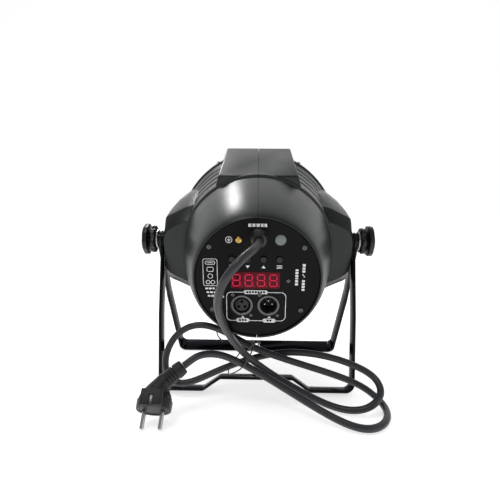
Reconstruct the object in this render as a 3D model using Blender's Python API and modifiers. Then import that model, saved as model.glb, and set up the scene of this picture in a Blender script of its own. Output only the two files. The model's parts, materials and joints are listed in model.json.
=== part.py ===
"""Par can light standing on its two yokes: die-cast two-half housing, LED engine, rear control panel,
two nested yokes clamped by side knobs, and its mains lead with an angled plug.

Row frame: metres, +Z up, rear control panel towards -Y, lens front towards +Y, floor at Z = 0.
Housing pieces are modelled about the yoke pivot with the beam along +Y, then tilted by their parent empty.
"""

import math

import bmesh
import bpy
from mathutils import Matrix, Vector

MM = 0.001
GAP = 0.3 * MM

# Stance
PIVOT_HEIGHT = 187.0 * MM
PIVOT_Y = 4.76 * MM
BEAM_TILT = math.radians(11.0)
FRONT_YOKE_LEAN = math.radians(11.5)
REAR_YOKE_LEAN = math.radians(30.5)
PIVOT_RISE = 9.5 * MM  # pivot above the beam axis, in the housing's own frame

# Housing, as radii about the beam axis and stations along it
PANEL_R = 64.5 * MM
PANEL_FACE_Y = -111.9 * MM
PANEL_T = 2.0 * MM
LIP_Y = -113.5 * MM
LEDGE_Y = -108.3 * MM
LEDGE_R = 56.0 * MM
DOME_R = 92.0 * MM
DOME_Y = -21.0 * MM
DOME_FULLNESS = 0.72
RING_Y = -15.0 * MM
RING_R = 95.0 * MM
FLANGE_Y = 76.0 * MM
FLANGE_R = 111.5 * MM
FRONT_Y = 88.0 * MM
MOUTH_R = 106.5 * MM
WALL = 2.6 * MM
RIBS = 4
RIB_PITCH = 18.0 * MM
BEZEL_FRONT_Y = 104.0 * MM
BEZEL_R = 113.6 * MM
BEZEL_MOUTH_R = 100.0 * MM
EAR_Z = -3.0 * MM
SEAM_GAP = 0.15 * MM
TURN_STEPS = 40

# Yokes: flat steel strip bent to a U
STRIP_W = 20.0 * MM
STRIP_T = 3.0 * MM
FRONT_YOKE_X = 123.0 * MM
FRONT_BASE_X = 120.5 * MM
REAR_YOKE_X = 127.5 * MM
REAR_BASE_X = 121.5 * MM
TAPER_FROM = 95.0 * MM
STUD_HOLE_R = 4.2 * MM
CLAMP_HOLE_R = 5.2 * MM

# Panel layout: u to the right, v up, seen from behind, millimetres from the panel centre
GLAND_UV = (1.0, 46.0)
GROUND_UV = (-19.0, 42.5)
DISPLAY_UV = (-1.9, -1.0)
DISPLAY_SIZE = (51.0, 18.6)
BUTTON_V = 22.2
BUTTON_U = (-26.0, -10.0, 6.2, 22.4)
XLR_OUT_UV = (-16.0, -29.0)
XLR_IN_UV = (12.0, -29.0)
XLR_SCREW_OFFSETS = ((-9.5, 11.5), (9.5, -11.5))
PANEL_SCREW_UV = ((-49.0, 35.0), (47.0, 35.0), (-47.0, -34.0), (46.0, -34.0))
BOARD_SCREW_UV = ((32.0, -1.0), (-35.0, -1.0))

BEZEL_SCREW_ANGLES = (60.0, 120.0, 240.0, 300.0)
BEZEL_SCREW_Y = 82.0 * MM

# Mains lead, in millimetres from the floor point under the pivot: out of the gland, down to the tie, round the
# right, left and right loops, and back through the tie to the plug
CORD_R = 4.0 * MM
CORD_ROUTE = (
    (-10, -170, 190), (-25, -177, 175), (-35, -171, 156), (-37, -148, 132), (-33, -110, 104), (-20, -72, 66),
    (14, -63, 36), (74, -78, 7), (105, -93, 5), (127, -97, 12), (143, -85, 23), (140, -68, 34),
    (122, -58, 43), (85, -52, 54), (45, -48, 57), (16, -45, 52), (-18, -46, 43), (-52, -53, 31), (-84, -60, 17),
    (-105, -60, 22), (-113, -52, 46), (-99, -48, 78), (-70, -48, 92), (-38, -50, 82), (-8, -55, 64), (38, -60, 50),
    (116, -52, 24), (140, -56, 9), (149, -82, 5), (141, -112, 5), (118, -131, 5), (88, -118, 6),
    (24, -78, 30), (-16, -75, 52), (-42, -78, 65), (-63, -87, 67), (-73, -92, 61),
)
PLUG_ENTRY = (-80.0, -95.0, 56.0)
PLUG_ENTRY_DIR = (0.76, 0.32, 0.57)
PLUG_FACE = (-108.0, -117.7, 15.8)
PLUG_PIN_DIR = (0.0, -0.707, -0.707)
PIN_R = 2.4 * MM
PIN_PITCH = 19.0 * MM
TIE_CENTRE = (-15.0, -60.0, 56.0)
TIE_NORMAL = (0.82, 0.12, -0.56)
# Wrap of the tie round the four strands: (towards the pivot, up) in its plane
TIE_WRAP = (
    (9, 19), (-4, 21.5), (-18, 14), (-24, 1.5), (-21, -10), (-9, -21), (5, -31.5), (16, -31.5), (20, -22), (19, -6),
    (15, 11),
)


def clear_scene():
    for old in list(bpy.data.objects):
        bpy.data.objects.remove(old, do_unlink=True)


def collection(name):
    made = bpy.data.collections.new(name)
    bpy.context.scene.collection.children.link(made)
    return made


def finish(name, color, roughness, metallic=0.0, transmission=0.0):
    made = bpy.data.materials.new(name)
    made.use_nodes = True
    shader = made.node_tree.nodes["Principled BSDF"]
    shader.inputs["Base Color"].default_value = (*color, 1.0)
    shader.inputs["Roughness"].default_value = roughness
    shader.inputs["Metallic"].default_value = metallic
    shader.inputs["Transmission Weight"].default_value = transmission
    return made


clear_scene()
PARTS = collection("par_can_light")
CUTTERS = collection("cutters")

CAST = finish("cast_housing", (0.045, 0.052, 0.052), 0.38, 0.1)
PANEL_BLACK = finish("panel_black", (0.02, 0.02, 0.021), 0.6)
YOKE_BLACK = finish("yoke_gloss", (0.015, 0.015, 0.016), 0.18, 0.1)
BLACK_PLASTIC = finish("black_plastic", (0.018, 0.018, 0.019), 0.5)
RUBBER = finish("rubber", (0.03, 0.03, 0.032), 0.7)
STEEL = finish("zinc_steel", (0.55, 0.56, 0.57), 0.3, 1.0)
BLACK_STEEL = finish("black_steel", (0.05, 0.05, 0.052), 0.35, 0.8)
BRASS = finish("brass", (0.75, 0.6, 0.25), 0.3, 1.0)
ALUMINIUM = finish("aluminium", (0.7, 0.71, 0.72), 0.4, 1.0)
GLASS = finish("front_glass", (0.9, 0.95, 0.95), 0.05, 0.0, 0.9)
LENS = finish("lens_plate", (0.08, 0.08, 0.085), 0.3)
DISPLAY_RED = finish("display_red", (0.2, 0.004, 0.02), 0.25)
BOARD = finish("circuit_board", (0.02, 0.2, 0.08), 0.5)
CORD_GREY = finish("cord_pvc", (0.07, 0.07, 0.075), 0.45)
NICKEL = finish("nickel", (0.65, 0.64, 0.6), 0.25, 1.0)


def empty(name, location, tilt):
    made = bpy.data.objects.new(name, None)
    made.location = location
    made.rotation_euler = (tilt, 0.0, 0.0)
    PARTS.objects.link(made)
    return made


PIVOT = Vector((0.0, PIVOT_Y, PIVOT_HEIGHT))
BEAM_AXIS = PIVOT - Matrix.Rotation(BEAM_TILT, 3, "X") @ Vector((0.0, 0.0, PIVOT_RISE))
HOUSING = empty("housing_axis", BEAM_AXIS, BEAM_TILT)
FRONT_YOKE = empty("front_yoke_pivot", PIVOT, -FRONT_YOKE_LEAN)
REAR_YOKE = empty("rear_yoke_pivot", PIVOT, REAR_YOKE_LEAN)


def add(name, mesh, material, parent, matrix=None, where=None):
    """Link a mesh as an object under a parent, at a matrix in the parent's frame."""
    made = bpy.data.objects.new(name, mesh)
    (where or PARTS).objects.link(made)
    if material:
        mesh.materials.append(material)
    made.parent = parent
    if matrix is not None:
        made.matrix_local = matrix
    return made


def mesh_from(bm, name):
    mesh = bpy.data.meshes.new(name)
    bmesh.ops.recalc_face_normals(bm, faces=bm.faces)
    bm.to_mesh(mesh)
    bm.free()
    mesh.shade_smooth()
    mesh.set_sharp_from_angle(angle=math.radians(35.0))
    return mesh


ALONG_Y = Matrix.Rotation(math.radians(-90.0), 4, "X")
ALONG_X = Matrix.Rotation(math.radians(90.0), 4, "Y")


def turned(name, profile, material, parent, matrix=ALONG_Y, steps=TURN_STEPS, closed=False, where=None):
    """Screw a profile of (radius, height) points, listed top to bottom on the outer side, about local Z."""
    mesh = bpy.data.meshes.new(name)
    points = [(radius, 0.0, height) for radius, height in profile]
    edges = [(i, i + 1) for i in range(len(points) - 1)]
    if closed:
        edges.append((len(points) - 1, 0))
    mesh.from_pydata(points, edges, [])
    made = add(name, mesh, material, parent, matrix, where)
    screw = made.modifiers.new("turn", "SCREW")
    screw.axis = "Z"
    screw.steps = steps
    screw.render_steps = steps
    screw.use_merge_vertices = True
    screw.merge_threshold = 1e-5
    screw.use_smooth_shade = True
    return made


def block(name, size, center, material, parent, bevel=0.0, where=None):
    """A box of the given size about a centre, with its edges bevelled."""
    bm = bmesh.new()
    bmesh.ops.create_cube(bm, size=1.0, matrix=Matrix.Translation(center) @ Matrix.Diagonal((*size, 1.0)))
    made = add(name, mesh_from(bm, name), material, parent, Matrix.Identity(4), where)
    if bevel:
        edge = made.modifiers.new("edges", "BEVEL")
        edge.width = bevel
        edge.segments = 2
    return made


def loft(name, rings, material, parent, where=None):
    """Join rings of equally many points in order and close both ends."""
    bm = bmesh.new()
    rows = [[bm.verts.new(point) for point in ring] for ring in rings]
    for low, high in zip(rows, rows[1:]):
        for i, vert in enumerate(low):
            after = (i + 1) % len(low)
            bm.faces.new((vert, low[after], high[after], high[i]))
    bm.faces.new(rows[0][::-1])
    bm.faces.new(rows[-1])
    return add(name, mesh_from(bm, name), material, parent, Matrix.Identity(4), where)


def plate(name, outline, thickness, material, parent, matrix, where=None):
    """A flat 2D outline given in local XY, extruded both ways along local Z, as a mesh."""
    curve = bpy.data.curves.new(name + "_outline", "CURVE")
    curve.dimensions = "2D"
    curve.fill_mode = "BOTH"
    curve.extrude = thickness / 2
    spline = curve.splines.new("POLY")
    spline.points.add(len(outline) - 1)
    for point, (x, y) in zip(spline.points, outline):
        point.co = (x, y, 0.0, 1.0)
    spline.use_cyclic_u = True
    guide = bpy.data.objects.new(name + "_outline", curve)
    CUTTERS.objects.link(guide)
    bpy.context.view_layer.update()
    mesh = bpy.data.meshes.new_from_object(guide.evaluated_get(bpy.context.evaluated_depsgraph_get()))
    bpy.data.objects.remove(guide, do_unlink=True)
    bm = bmesh.new()
    bm.from_mesh(mesh)
    bmesh.ops.remove_doubles(bm, verts=bm.verts, dist=1e-6)
    return add(name, mesh_from(bm, name), material, parent, matrix, where)


def as_cutter(made):
    made.hide_render = True
    made.display_type = "WIRE"
    return made


def join(target, cutter, operation):
    change = target.modifiers.new(operation.lower(), "BOOLEAN")
    change.operation = operation
    change.solver = "EXACT"
    change.object = as_cutter(cutter)


def rod_cutter(name, radius, low, high, parent, matrix, steps=16):
    """A cylinder cutter between two heights of its local Z."""
    profile = [(0.0, high), (radius, high), (radius, low), (0.0, low)]
    return turned(name, profile, None, parent, matrix, steps, where=CUTTERS)


def at(x, y, z, turn=ALONG_Y):
    return Matrix.Translation((x, y, z)) @ turn


def on_panel(uv, depth=0.0):
    """A frame at panel position uv with local Z pointing out of the panel, to the rear."""
    outward = Matrix.Rotation(math.radians(90.0), 4, "X")
    return Matrix.Translation((uv[0] * MM, PANEL_FACE_Y - depth, uv[1] * MM)) @ outward


def arc(center, radii, start, stop, steps):
    """Points on an ellipse arc, angles in degrees."""
    spans = [math.radians(start + (stop - start) * i / steps) for i in range(steps + 1)]
    return [(center[0] + radii[0] * math.cos(a), center[1] + radii[1] * math.sin(a)) for a in spans]


# ---------------------------------------------------------------- housing


def cone_r(y):
    """Ring radius along the ribbed part of the housing."""
    return RING_R + (y - RING_Y) / (FLANGE_Y - RING_Y) * (FLANGE_R - 2.0 * MM - RING_R)


def outer_profile():
    """Housing outline, front to rear."""
    points = [(FLANGE_R, FRONT_Y), (FLANGE_R, FLANGE_Y), (cone_r(62.0 * MM), 62.0 * MM)]
    for rib in reversed(range(RIBS)):
        base = RING_Y + 6.0 * MM + rib * RIB_PITCH
        for step, sink in ((16.5, 2.8), (13.5, 2.8), (12.0, 0.0), (0.0, 0.0)):
            y = base + step * MM
            points.append((cone_r(y) - sink * MM, y))
    points += [(RING_R, RING_Y), (DOME_R - 1.8 * MM, RING_Y - 0.8 * MM), (DOME_R - 1.8 * MM, DOME_Y + 1.5 * MM)]
    points += dome(0.0, 12)
    points += [(PANEL_R + 1.8 * MM, LIP_Y), (PANEL_R + 0.6 * MM, LIP_Y)]
    return points


def dome(wall, steps):
    """The rear dome from its rim to the panel lip: full near the lip and nearly a cone towards the rim."""
    lip_r = PANEL_R + 2.0 * MM
    points = []
    for step in range(steps):
        share = (1.0 - step / steps) ** 1.6
        y = LIP_Y + share * (DOME_Y - LIP_Y)
        points.append((lip_r + (DOME_R - lip_r) * share ** DOME_FULLNESS - wall, y + wall * 0.3))
    return points


def cavity_profile():
    """Inside of the housing, front to rear, as a solid."""
    front = [(0.0, FRONT_Y + 5.0 * MM), (MOUTH_R, FRONT_Y + 5.0 * MM), (MOUTH_R, 71.0 * MM)]
    body = [(cone_r(60.0 * MM) - 5.6 * MM, 60.0 * MM), (RING_R - 5.6 * MM, RING_Y)]
    rear = [(LEDGE_R, LEDGE_Y + 2.0 * MM), (LEDGE_R, LEDGE_Y)]
    seat = [(PANEL_R + 0.6 * MM, LEDGE_Y), (PANEL_R + 0.6 * MM, LIP_Y - 3.0 * MM), (0.0, LIP_Y - 3.0 * MM)]
    inside = [point for point in dome(WALL, 8) if point[1] > LEDGE_Y + 3.0 * MM]
    return front + body + inside + rear + seat


def section(y, half):
    """A ring at station y from the +X half of an outline, mirrored about X = 0."""
    mirrored = [(-x, z) for x, z in reversed(half)]
    return [Vector((x * MM, y * MM, z * MM)) for x, z in half + mirrored]


def on_pivot(side):
    """A frame on the pivot axis whose local Z points outwards on the given side."""
    return Matrix.Translation((0.0, 0.0, PIVOT_RISE)) @ Matrix.Rotation(side * math.pi / 2, 4, "Y")


def spine_block(name, up, inset, material, where=None):
    """The wedge-shaped block along the top (up = 1) or bottom (up = -1) of the housing."""
    rear = ((54.0 - inset, 55.0), (54.0 - inset, 72.0), (48.0 - inset, 93.5 - inset))
    front = ((49.0 - inset, 55.0), (49.0 - inset, 101.0), (43.5 - inset, 119.5 - inset))
    rings = []
    for y, half in ((-13.0 + inset, rear), (78.4 - inset, front)):
        rings.append(section(y, [(x, z * up) for x, z in half]))
    return loft(name, rings, material, HOUSING, where)


def ear(name, side):
    """Side boss that takes the knob's stud: a small rear face that swells to the flat clamping face."""
    stations = (
        (-14.0, ((70, 42), (91, 40), (104, 34), (113, 28), (117.6, 21), (118.8, 13))),
        (2.0, ((70, 60), (92, 54), (104, 48), (113, 44), (117.6, 41), (118.8, 36))),
        (34.0, ((70, 72), (92, 64), (104, 56), (113, 49), (117.6, 44), (118.8, 38))),
        (76.0, ((70, 74), (92, 66), (104, 57), (113, 50), (117.6, 44), (118.8, 38))),
    )
    rings = []
    for y, half in stations:
        outline = list(half) + [(x, -z) for x, z in reversed(half)]
        rings.append([Vector((x * side * MM, y * MM, z * MM + EAR_Z)) for x, z in outline])
    return loft(name, rings, None, HOUSING, CUTTERS)


def housing_half(name, side):
    """One die-cast half: turned shell, half of each spine block and one ear, cut at the seam."""
    half = turned(name, [(0.0, FRONT_Y)] + outer_profile() + [(0.0, LIP_Y)], CAST, HOUSING)
    tag = "right" if side > 0 else "left"
    join(half, spine_block(f"top_block_{tag}", 1, 0.0, None, CUTTERS), "UNION")
    join(half, spine_block(f"bottom_block_{tag}", -1, 0.0, None, CUTTERS), "UNION")
    join(half, ear(f"ear_{tag}", side), "UNION")
    join(half, spine_block(f"top_hollow_{tag}", 1, 3.0, None, CUTTERS), "DIFFERENCE")
    join(half, spine_block(f"bottom_hollow_{tag}", -1, 3.0, None, CUTTERS), "DIFFERENCE")
    stud = rod_cutter(f"stud_bore_{tag}", STUD_HOLE_R, 0.090, 0.130, HOUSING, on_pivot(side))
    join(half, stud, "DIFFERENCE")
    for index, angle in enumerate(BEZEL_SCREW_ANGLES):
        if math.cos(math.radians(angle)) * side > 0:
            hole = rod_cutter(f"bezel_hole_{index}", 1.7 * MM, 0.100, 0.118, HOUSING, radial(angle, BEZEL_SCREW_Y), 10)
            join(half, hole, "DIFFERENCE")
    for index, uv in enumerate(PANEL_SCREW_UV):
        if uv[0] * side > 0:
            hole = rod_cutter(f"ledge_hole_{index}", 1.7 * MM, -0.012, -0.002, HOUSING, on_panel(uv), 12)
            join(half, hole, "DIFFERENCE")
    keep = block(
        f"keep_{tag}", (0.3, 0.4, 0.4), (side * (0.15 + SEAM_GAP), 0.0, 0.0), None, HOUSING, where=CUTTERS
    )
    join(half, keep, "INTERSECT")
    join(half, turned(f"cavity_{tag}", cavity_profile(), None, HOUSING, where=CUTTERS), "DIFFERENCE")
    return half


def radial(angle, y):
    """A frame at station y whose local Z points away from the beam axis at an angle from +X towards +Z."""
    turn = Matrix.Rotation(-math.radians(angle), 4, "Y") @ ALONG_X
    return Matrix.Translation((0.0, y, 0.0)) @ turn


def front_end():
    """Bezel, gasket, glass, lens plate and LED board, from the front inwards."""
    bezel = [
        (BEZEL_R - 3.0 * MM, BEZEL_FRONT_Y),
        (BEZEL_R - 0.8 * MM, BEZEL_FRONT_Y - 0.9 * MM),
        (BEZEL_R, BEZEL_FRONT_Y - 3.0 * MM),
        (BEZEL_R, 79.0 * MM),
        (FLANGE_R + GAP, 79.0 * MM),
        (FLANGE_R + GAP, FRONT_Y + GAP),
        (MOUTH_R - 0.5 * MM, FRONT_Y + GAP),
        (MOUTH_R - 0.5 * MM, FRONT_Y + 2.2 * MM),
        (BEZEL_MOUTH_R, FRONT_Y + 2.2 * MM),
        (BEZEL_MOUTH_R + 2.0 * MM, BEZEL_FRONT_Y),
    ]
    ring = turned("front_bezel", bezel, CAST, HOUSING, closed=True)
    for index, angle in enumerate(BEZEL_SCREW_ANGLES):
        hole = rod_cutter(f"skirt_hole_{index}", 1.7 * MM, 0.100, 0.122, HOUSING, radial(angle, BEZEL_SCREW_Y), 10)
        join(ring, hole, "DIFFERENCE")
    glass = [(0.0, 89.8 * MM), (MOUTH_R - 1.0 * MM, 89.8 * MM), (MOUTH_R - 1.0 * MM, 86.8 * MM), (0.0, 86.8 * MM)]
    turned("front_glass", glass, GLASS, HOUSING)
    seal_r = MOUTH_R - 0.6 * MM
    seal = [(seal_r, 86.5 * MM), (seal_r, 84.5 * MM), (BEZEL_MOUTH_R, 84.5 * MM), (BEZEL_MOUTH_R, 86.5 * MM)]
    turned("front_gasket", seal, RUBBER, HOUSING, closed=True)
    lens = [(0.0, 84.2 * MM), (MOUTH_R - 0.8 * MM, 84.2 * MM), (MOUTH_R - 0.8 * MM, 76.0 * MM), (0.0, 76.0 * MM)]
    turned("lens_plate", lens, LENS, HOUSING)
    board = [(0.0, 75.4 * MM), (MOUTH_R - 4.0 * MM, 75.4 * MM), (MOUTH_R - 4.0 * MM, 73.8 * MM), (0.0, 73.8 * MM)]
    turned("led_board", board, ALUMINIUM, HOUSING)
    for index, angle in enumerate(BEZEL_SCREW_ANGLES, start=1):
        head = [(0.0, 2.2), (1.6, 2.1), (2.7, 1.3), (2.7, 0.3), (1.35, 0.3), (1.35, -6.0), (0.0, -6.0)]
        profile = [(r * MM, BEZEL_R + h * MM) for r, h in head]
        turned(f"bezel_screw_{index}", profile, STEEL, HOUSING, radial(angle, BEZEL_SCREW_Y), 12)


def heat_sink():
    """Finned plate behind the LED board."""
    size, fins, pitch = 124.0, 15, 8.0
    half = size / 2
    outline = [(-half, 0.0), (half, 0.0)]
    for index in reversed(range(fins)):
        x = (index - (fins - 1) / 2) * pitch
        outline += [(x + 1.25, -5.0), (x + 1.1, -30.0), (x - 1.1, -30.0), (x - 1.25, -5.0)]
    outline[2:2] = [(half, -5.0)]
    outline.append((-half, -5.0))
    points = [(x * MM, 73.4 * MM + y * MM) for x, y in outline]
    plate("heat_sink", points, size * MM, ALUMINIUM, HOUSING, Matrix.Identity(4))


def fan():
    """Axial fan behind the heat sink: square frame with a round throat, and a rotor that spins on the beam axis."""
    side, low, high = 80.0 * MM, 18.0 * MM, 42.0 * MM
    frame = block("fan_frame", (side, high - low, side), (0.0, (low + high) / 2, 0.0), BLACK_PLASTIC, HOUSING)
    join(frame, rod_cutter("fan_throat", 38.0 * MM, 0.0, 0.06, HOUSING, ALONG_Y, 36), "DIFFERENCE")
    top, foot = high - 2.0 * MM, low + 4.0 * MM
    hub = [(0.0, top), (17.0 * MM, top), (17.0 * MM, foot), (0.0, foot)]
    rotor = turned("fan_rotor", hub, BLACK_PLASTIC, HOUSING, steps=24)
    for index in range(7):
        turn = Matrix.Rotation(2 * math.pi * index / 7, 4, "Y")
        pitch = Matrix.Rotation(math.radians(38.0), 4, "X")
        size = (21.0 * MM, 1.6 * MM, 22.0 * MM)
        blade = block(f"blade_{index}", size, (0.0, 0.0, 0.0), None, HOUSING, where=CUTTERS)
        blade.matrix_local = turn @ Matrix.Translation((26.0 * MM, (low + high) / 2 + 1.0 * MM, 0.0)) @ pitch
        join(rotor, blade, "UNION")


def electronics():
    """Power supply in its cage, driver board and the board behind the panel."""
    block(
        "power_supply", (96.0 * MM, 34.0 * MM, 46.0 * MM), (0.0, -24.0 * MM, -30.0 * MM), ALUMINIUM, HOUSING, 1.0 * MM
    )
    block("driver_board", (84.0 * MM, 1.6 * MM, 60.0 * MM), (0.0, 2.0 * MM, 28.0 * MM), BOARD, HOUSING)
    center = (-1.9 * MM, PANEL_FACE_Y + 16.0 * MM, 7.0 * MM)
    block("panel_board", (74.0 * MM, 1.6 * MM, 40.0 * MM), center, BOARD, HOUSING)


# ---------------------------------------------------------------- control panel


def control_panel():
    """Round rear panel with all its openings, its gasket, and what is fitted to it."""
    inner_y = PANEL_FACE_Y + PANEL_T
    disc = [(0.0, inner_y), (PANEL_R, inner_y), (PANEL_R, PANEL_FACE_Y), (0.0, PANEL_FACE_Y)]
    panel = turned("control_panel", disc, PANEL_BLACK, HOUSING)
    window = block(
        "display_window",
        (DISPLAY_SIZE[0] * MM + 2 * GAP, 12.0 * MM, DISPLAY_SIZE[1] * MM + 2 * GAP),
        (DISPLAY_UV[0] * MM, PANEL_FACE_Y, DISPLAY_UV[1] * MM),
        None,
        HOUSING,
        where=CUTTERS,
    )
    join(panel, window, "DIFFERENCE")
    round_holes = [("button_hole", (u, BUTTON_V), 3.6) for u in BUTTON_U]
    round_holes += [("gland_hole", GLAND_UV, 6.4), ("ground_hole", GROUND_UV, 2.3)]
    round_holes += [("out_hole", XLR_OUT_UV, 10.2), ("in_hole", XLR_IN_UV, 10.2)]
    round_holes += [("screw_hole", uv, 1.7) for uv in (*PANEL_SCREW_UV, *BOARD_SCREW_UV)]
    for u, v in (XLR_OUT_UV, XLR_IN_UV):
        round_holes += [("flange_hole", (u + du, v + dv), 1.5) for du, dv in XLR_SCREW_OFFSETS]
    for index, (label, uv, radius) in enumerate(round_holes):
        steps = 10 if radius < 5.0 else 20
        cutter = rod_cutter(f"{label}_{index}", radius * MM, -0.01, 0.01, HOUSING, on_panel(uv), steps)
        join(panel, cutter, "DIFFERENCE")
    ring = [
        (PANEL_R - 0.5 * MM, LEDGE_Y - GAP),
        (PANEL_R - 0.5 * MM, PANEL_FACE_Y + PANEL_T + GAP),
        (LEDGE_R + 0.5 * MM, PANEL_FACE_Y + PANEL_T + GAP),
        (LEDGE_R + 0.5 * MM, LEDGE_Y - GAP),
    ]
    gasket = turned("panel_gasket", ring, RUBBER, HOUSING, closed=True)
    for index, uv in enumerate(PANEL_SCREW_UV):
        hole = rod_cutter(f"gasket_hole_{index}", 1.7 * MM, -0.01, 0.01, HOUSING, on_panel(uv), 10)
        join(gasket, hole, "DIFFERENCE")


def turned_on_panel(name, profile, material, uv, steps=16, closed=False):
    """A turned piece standing out of the panel, profile in millimetres."""
    return turned(name, [(r * MM, h * MM) for r, h in profile], material, HOUSING, on_panel(uv), steps, closed)


def panel_screw(name, uv, material, base=0.3, length=7.0, head=2.9):
    """Pan-head screw in one of the panel's holes."""
    top = base + head * 0.55
    crown = [(0.0, top), (head * 0.55, top - 0.1), (head * 0.92, top - 0.7), (head, base)]
    turned_on_panel(name, crown + [(1.3, base), (1.3, -length), (0.0, -length)], material, uv, 10)


def connectors():
    """Female output and male input, three-pin, each a flanged shell with an insert, and their screws."""
    shell = [(11.3, 1.3), (11.7, 0.9), (11.7, 0.3), (9.9, 0.3), (9.9, -19.0), (8.9, -19.0), (8.9, 0.6), (9.3, 1.3)]
    for label, uv in (("out", XLR_OUT_UV), ("in", XLR_IN_UV)):
        turned_on_panel(f"xlr_{label}_shell", shell, BLACK_STEEL, uv, 20, closed=True)
        for index, (du, dv) in enumerate(XLR_SCREW_OFFSETS, start=1):
            panel_screw(f"xlr_{label}_screw_{index}", (uv[0] + du, uv[1] + dv), BLACK_STEEL, 0.3, 6.0, 2.1)
    face = [(0.0, 0.2), (7.0, 0.2), (7.3, -0.1), (7.3, -16.0), (8.6, -16.0), (8.6, -18.8), (0.0, -18.8)]
    insert = turned_on_panel("xlr_out_insert", face, BLACK_PLASTIC, XLR_OUT_UV)
    for index, uv in enumerate(contact_spots(XLR_OUT_UV, (90.0, 210.0, 330.0))):
        socket = rod_cutter(f"socket_{index}", 1.3 * MM, -0.014, 0.003, HOUSING, on_panel(uv), 10)
        join(insert, socket, "DIFFERENCE")
    base = [(0.0, -14.0), (8.6, -14.0), (8.6, -18.8), (0.0, -18.8)]
    floor = turned_on_panel("xlr_in_insert", base, BLACK_PLASTIC, XLR_IN_UV)
    for index, uv in enumerate(contact_spots(XLR_IN_UV, (90.0, 180.0, 0.0))):
        profile = [(0.0, -2.0), (0.8, -2.2), (1.2, -3.0), (1.2, -15.0), (0.0, -15.0)]
        pin = turned_on_panel(f"pin_{index}", profile, None, uv, 8)
        CUTTERS.objects.link(pin)
        PARTS.objects.unlink(pin)
        join(floor, pin, "UNION")


def contact_spots(uv, angles):
    """Where a connector's three contacts stand on the panel."""
    spans = [math.radians(angle) for angle in angles]
    return [(uv[0] + 3.9 * math.cos(a), uv[1] + 3.9 * math.sin(a)) for a in spans]


def gland():
    """Cable gland: flanged body through the panel, ribbed cap nut, and the locknut behind."""
    bore = 4.4
    turned_on_panel(
        "gland_body",
        [(8.8, 2.6), (8.8, 0.3), (6.1, 0.3), (6.1, -9.0), (bore, -9.0), (bore, 9.5), (5.9, 9.5), (5.9, 2.6)],
        BLACK_PLASTIC,
        GLAND_UV,
        20,
        closed=True,
    )
    turned_on_panel(
        "gland_nut",
        [(5.4, 17.0), (7.6, 15.6), (8.7, 12.0), (8.7, 2.9), (6.2, 2.9), (6.2, 9.8), (bore, 10.0), (bore, 17.0)],
        BLACK_PLASTIC,
        GLAND_UV,
        20,
        closed=True,
    )
    locknut = [(9.6, -2.3), (9.6, -6.3), (7.2, -6.3), (7.2, -2.3)]
    turned_on_panel("gland_locknut", locknut, BLACK_PLASTIC, GLAND_UV, 6, closed=True)


def panel_fittings():
    """Display, buttons, earth screw and the panel's own screws."""
    block(
        "display",
        (DISPLAY_SIZE[0] * MM, 8.0 * MM, DISPLAY_SIZE[1] * MM),
        (DISPLAY_UV[0] * MM, PANEL_FACE_Y + 3.6 * MM, DISPLAY_UV[1] * MM),
        DISPLAY_RED,
        HOUSING,
        0.3 * MM,
    )
    cap = [(0.0, 2.2), (2.6, 2.1), (3.2, 1.4), (3.2, -3.5), (3.9, -3.5), (3.9, -4.6)]
    stem = [(1.7, -4.6), (1.7, -12.0), (0.0, -12.0)]
    for index, u in enumerate(BUTTON_U, start=1):
        turned_on_panel(f"button_{index}", cap + stem, BLACK_PLASTIC, (u, BUTTON_V), 12)
    panel_screw("ground_screw", GROUND_UV, BRASS, 0.3, 9.0, 3.6)
    for index, uv in enumerate(PANEL_SCREW_UV, start=1):
        panel_screw(f"panel_screw_{index}", uv, BLACK_STEEL)
    for index, uv in enumerate(BOARD_SCREW_UV, start=1):
        panel_screw(f"board_screw_{index}", uv, STEEL, 0.3, 12.0, 2.4)


# ---------------------------------------------------------------- yokes and knobs


def rounded(points, radius, steps=4):
    """Round the inner corners of an open 2D path; radius may differ for each corner."""
    path = [Vector(points[0])]
    for before, corner, after, r in zip(points, points[1:], points[2:], radius):
        a, b = (Vector(before) - Vector(corner)).normalized(), (Vector(after) - Vector(corner)).normalized()
        half = a.angle(b) / 2
        center = Vector(corner) + (a + b).normalized() * (r / math.sin(half))
        first, last = Vector(corner) + a * (r / math.tan(half)), Vector(corner) + b * (r / math.tan(half))
        for step in range(steps + 1):
            spot = first.lerp(last, step / steps) - center
            path.append(center + spot.normalized() * r)
    return path + [Vector(points[-1])]


def offset(path, distance):
    """Shift an open 2D path sideways."""
    moved = []
    for index, point in enumerate(path):
        ahead = path[min(index + 1, len(path) - 1)] - path[max(index - 1, 0)]
        moved.append(point + Vector((-ahead.y, ahead.x)).normalized() * distance)
    return moved


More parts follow.
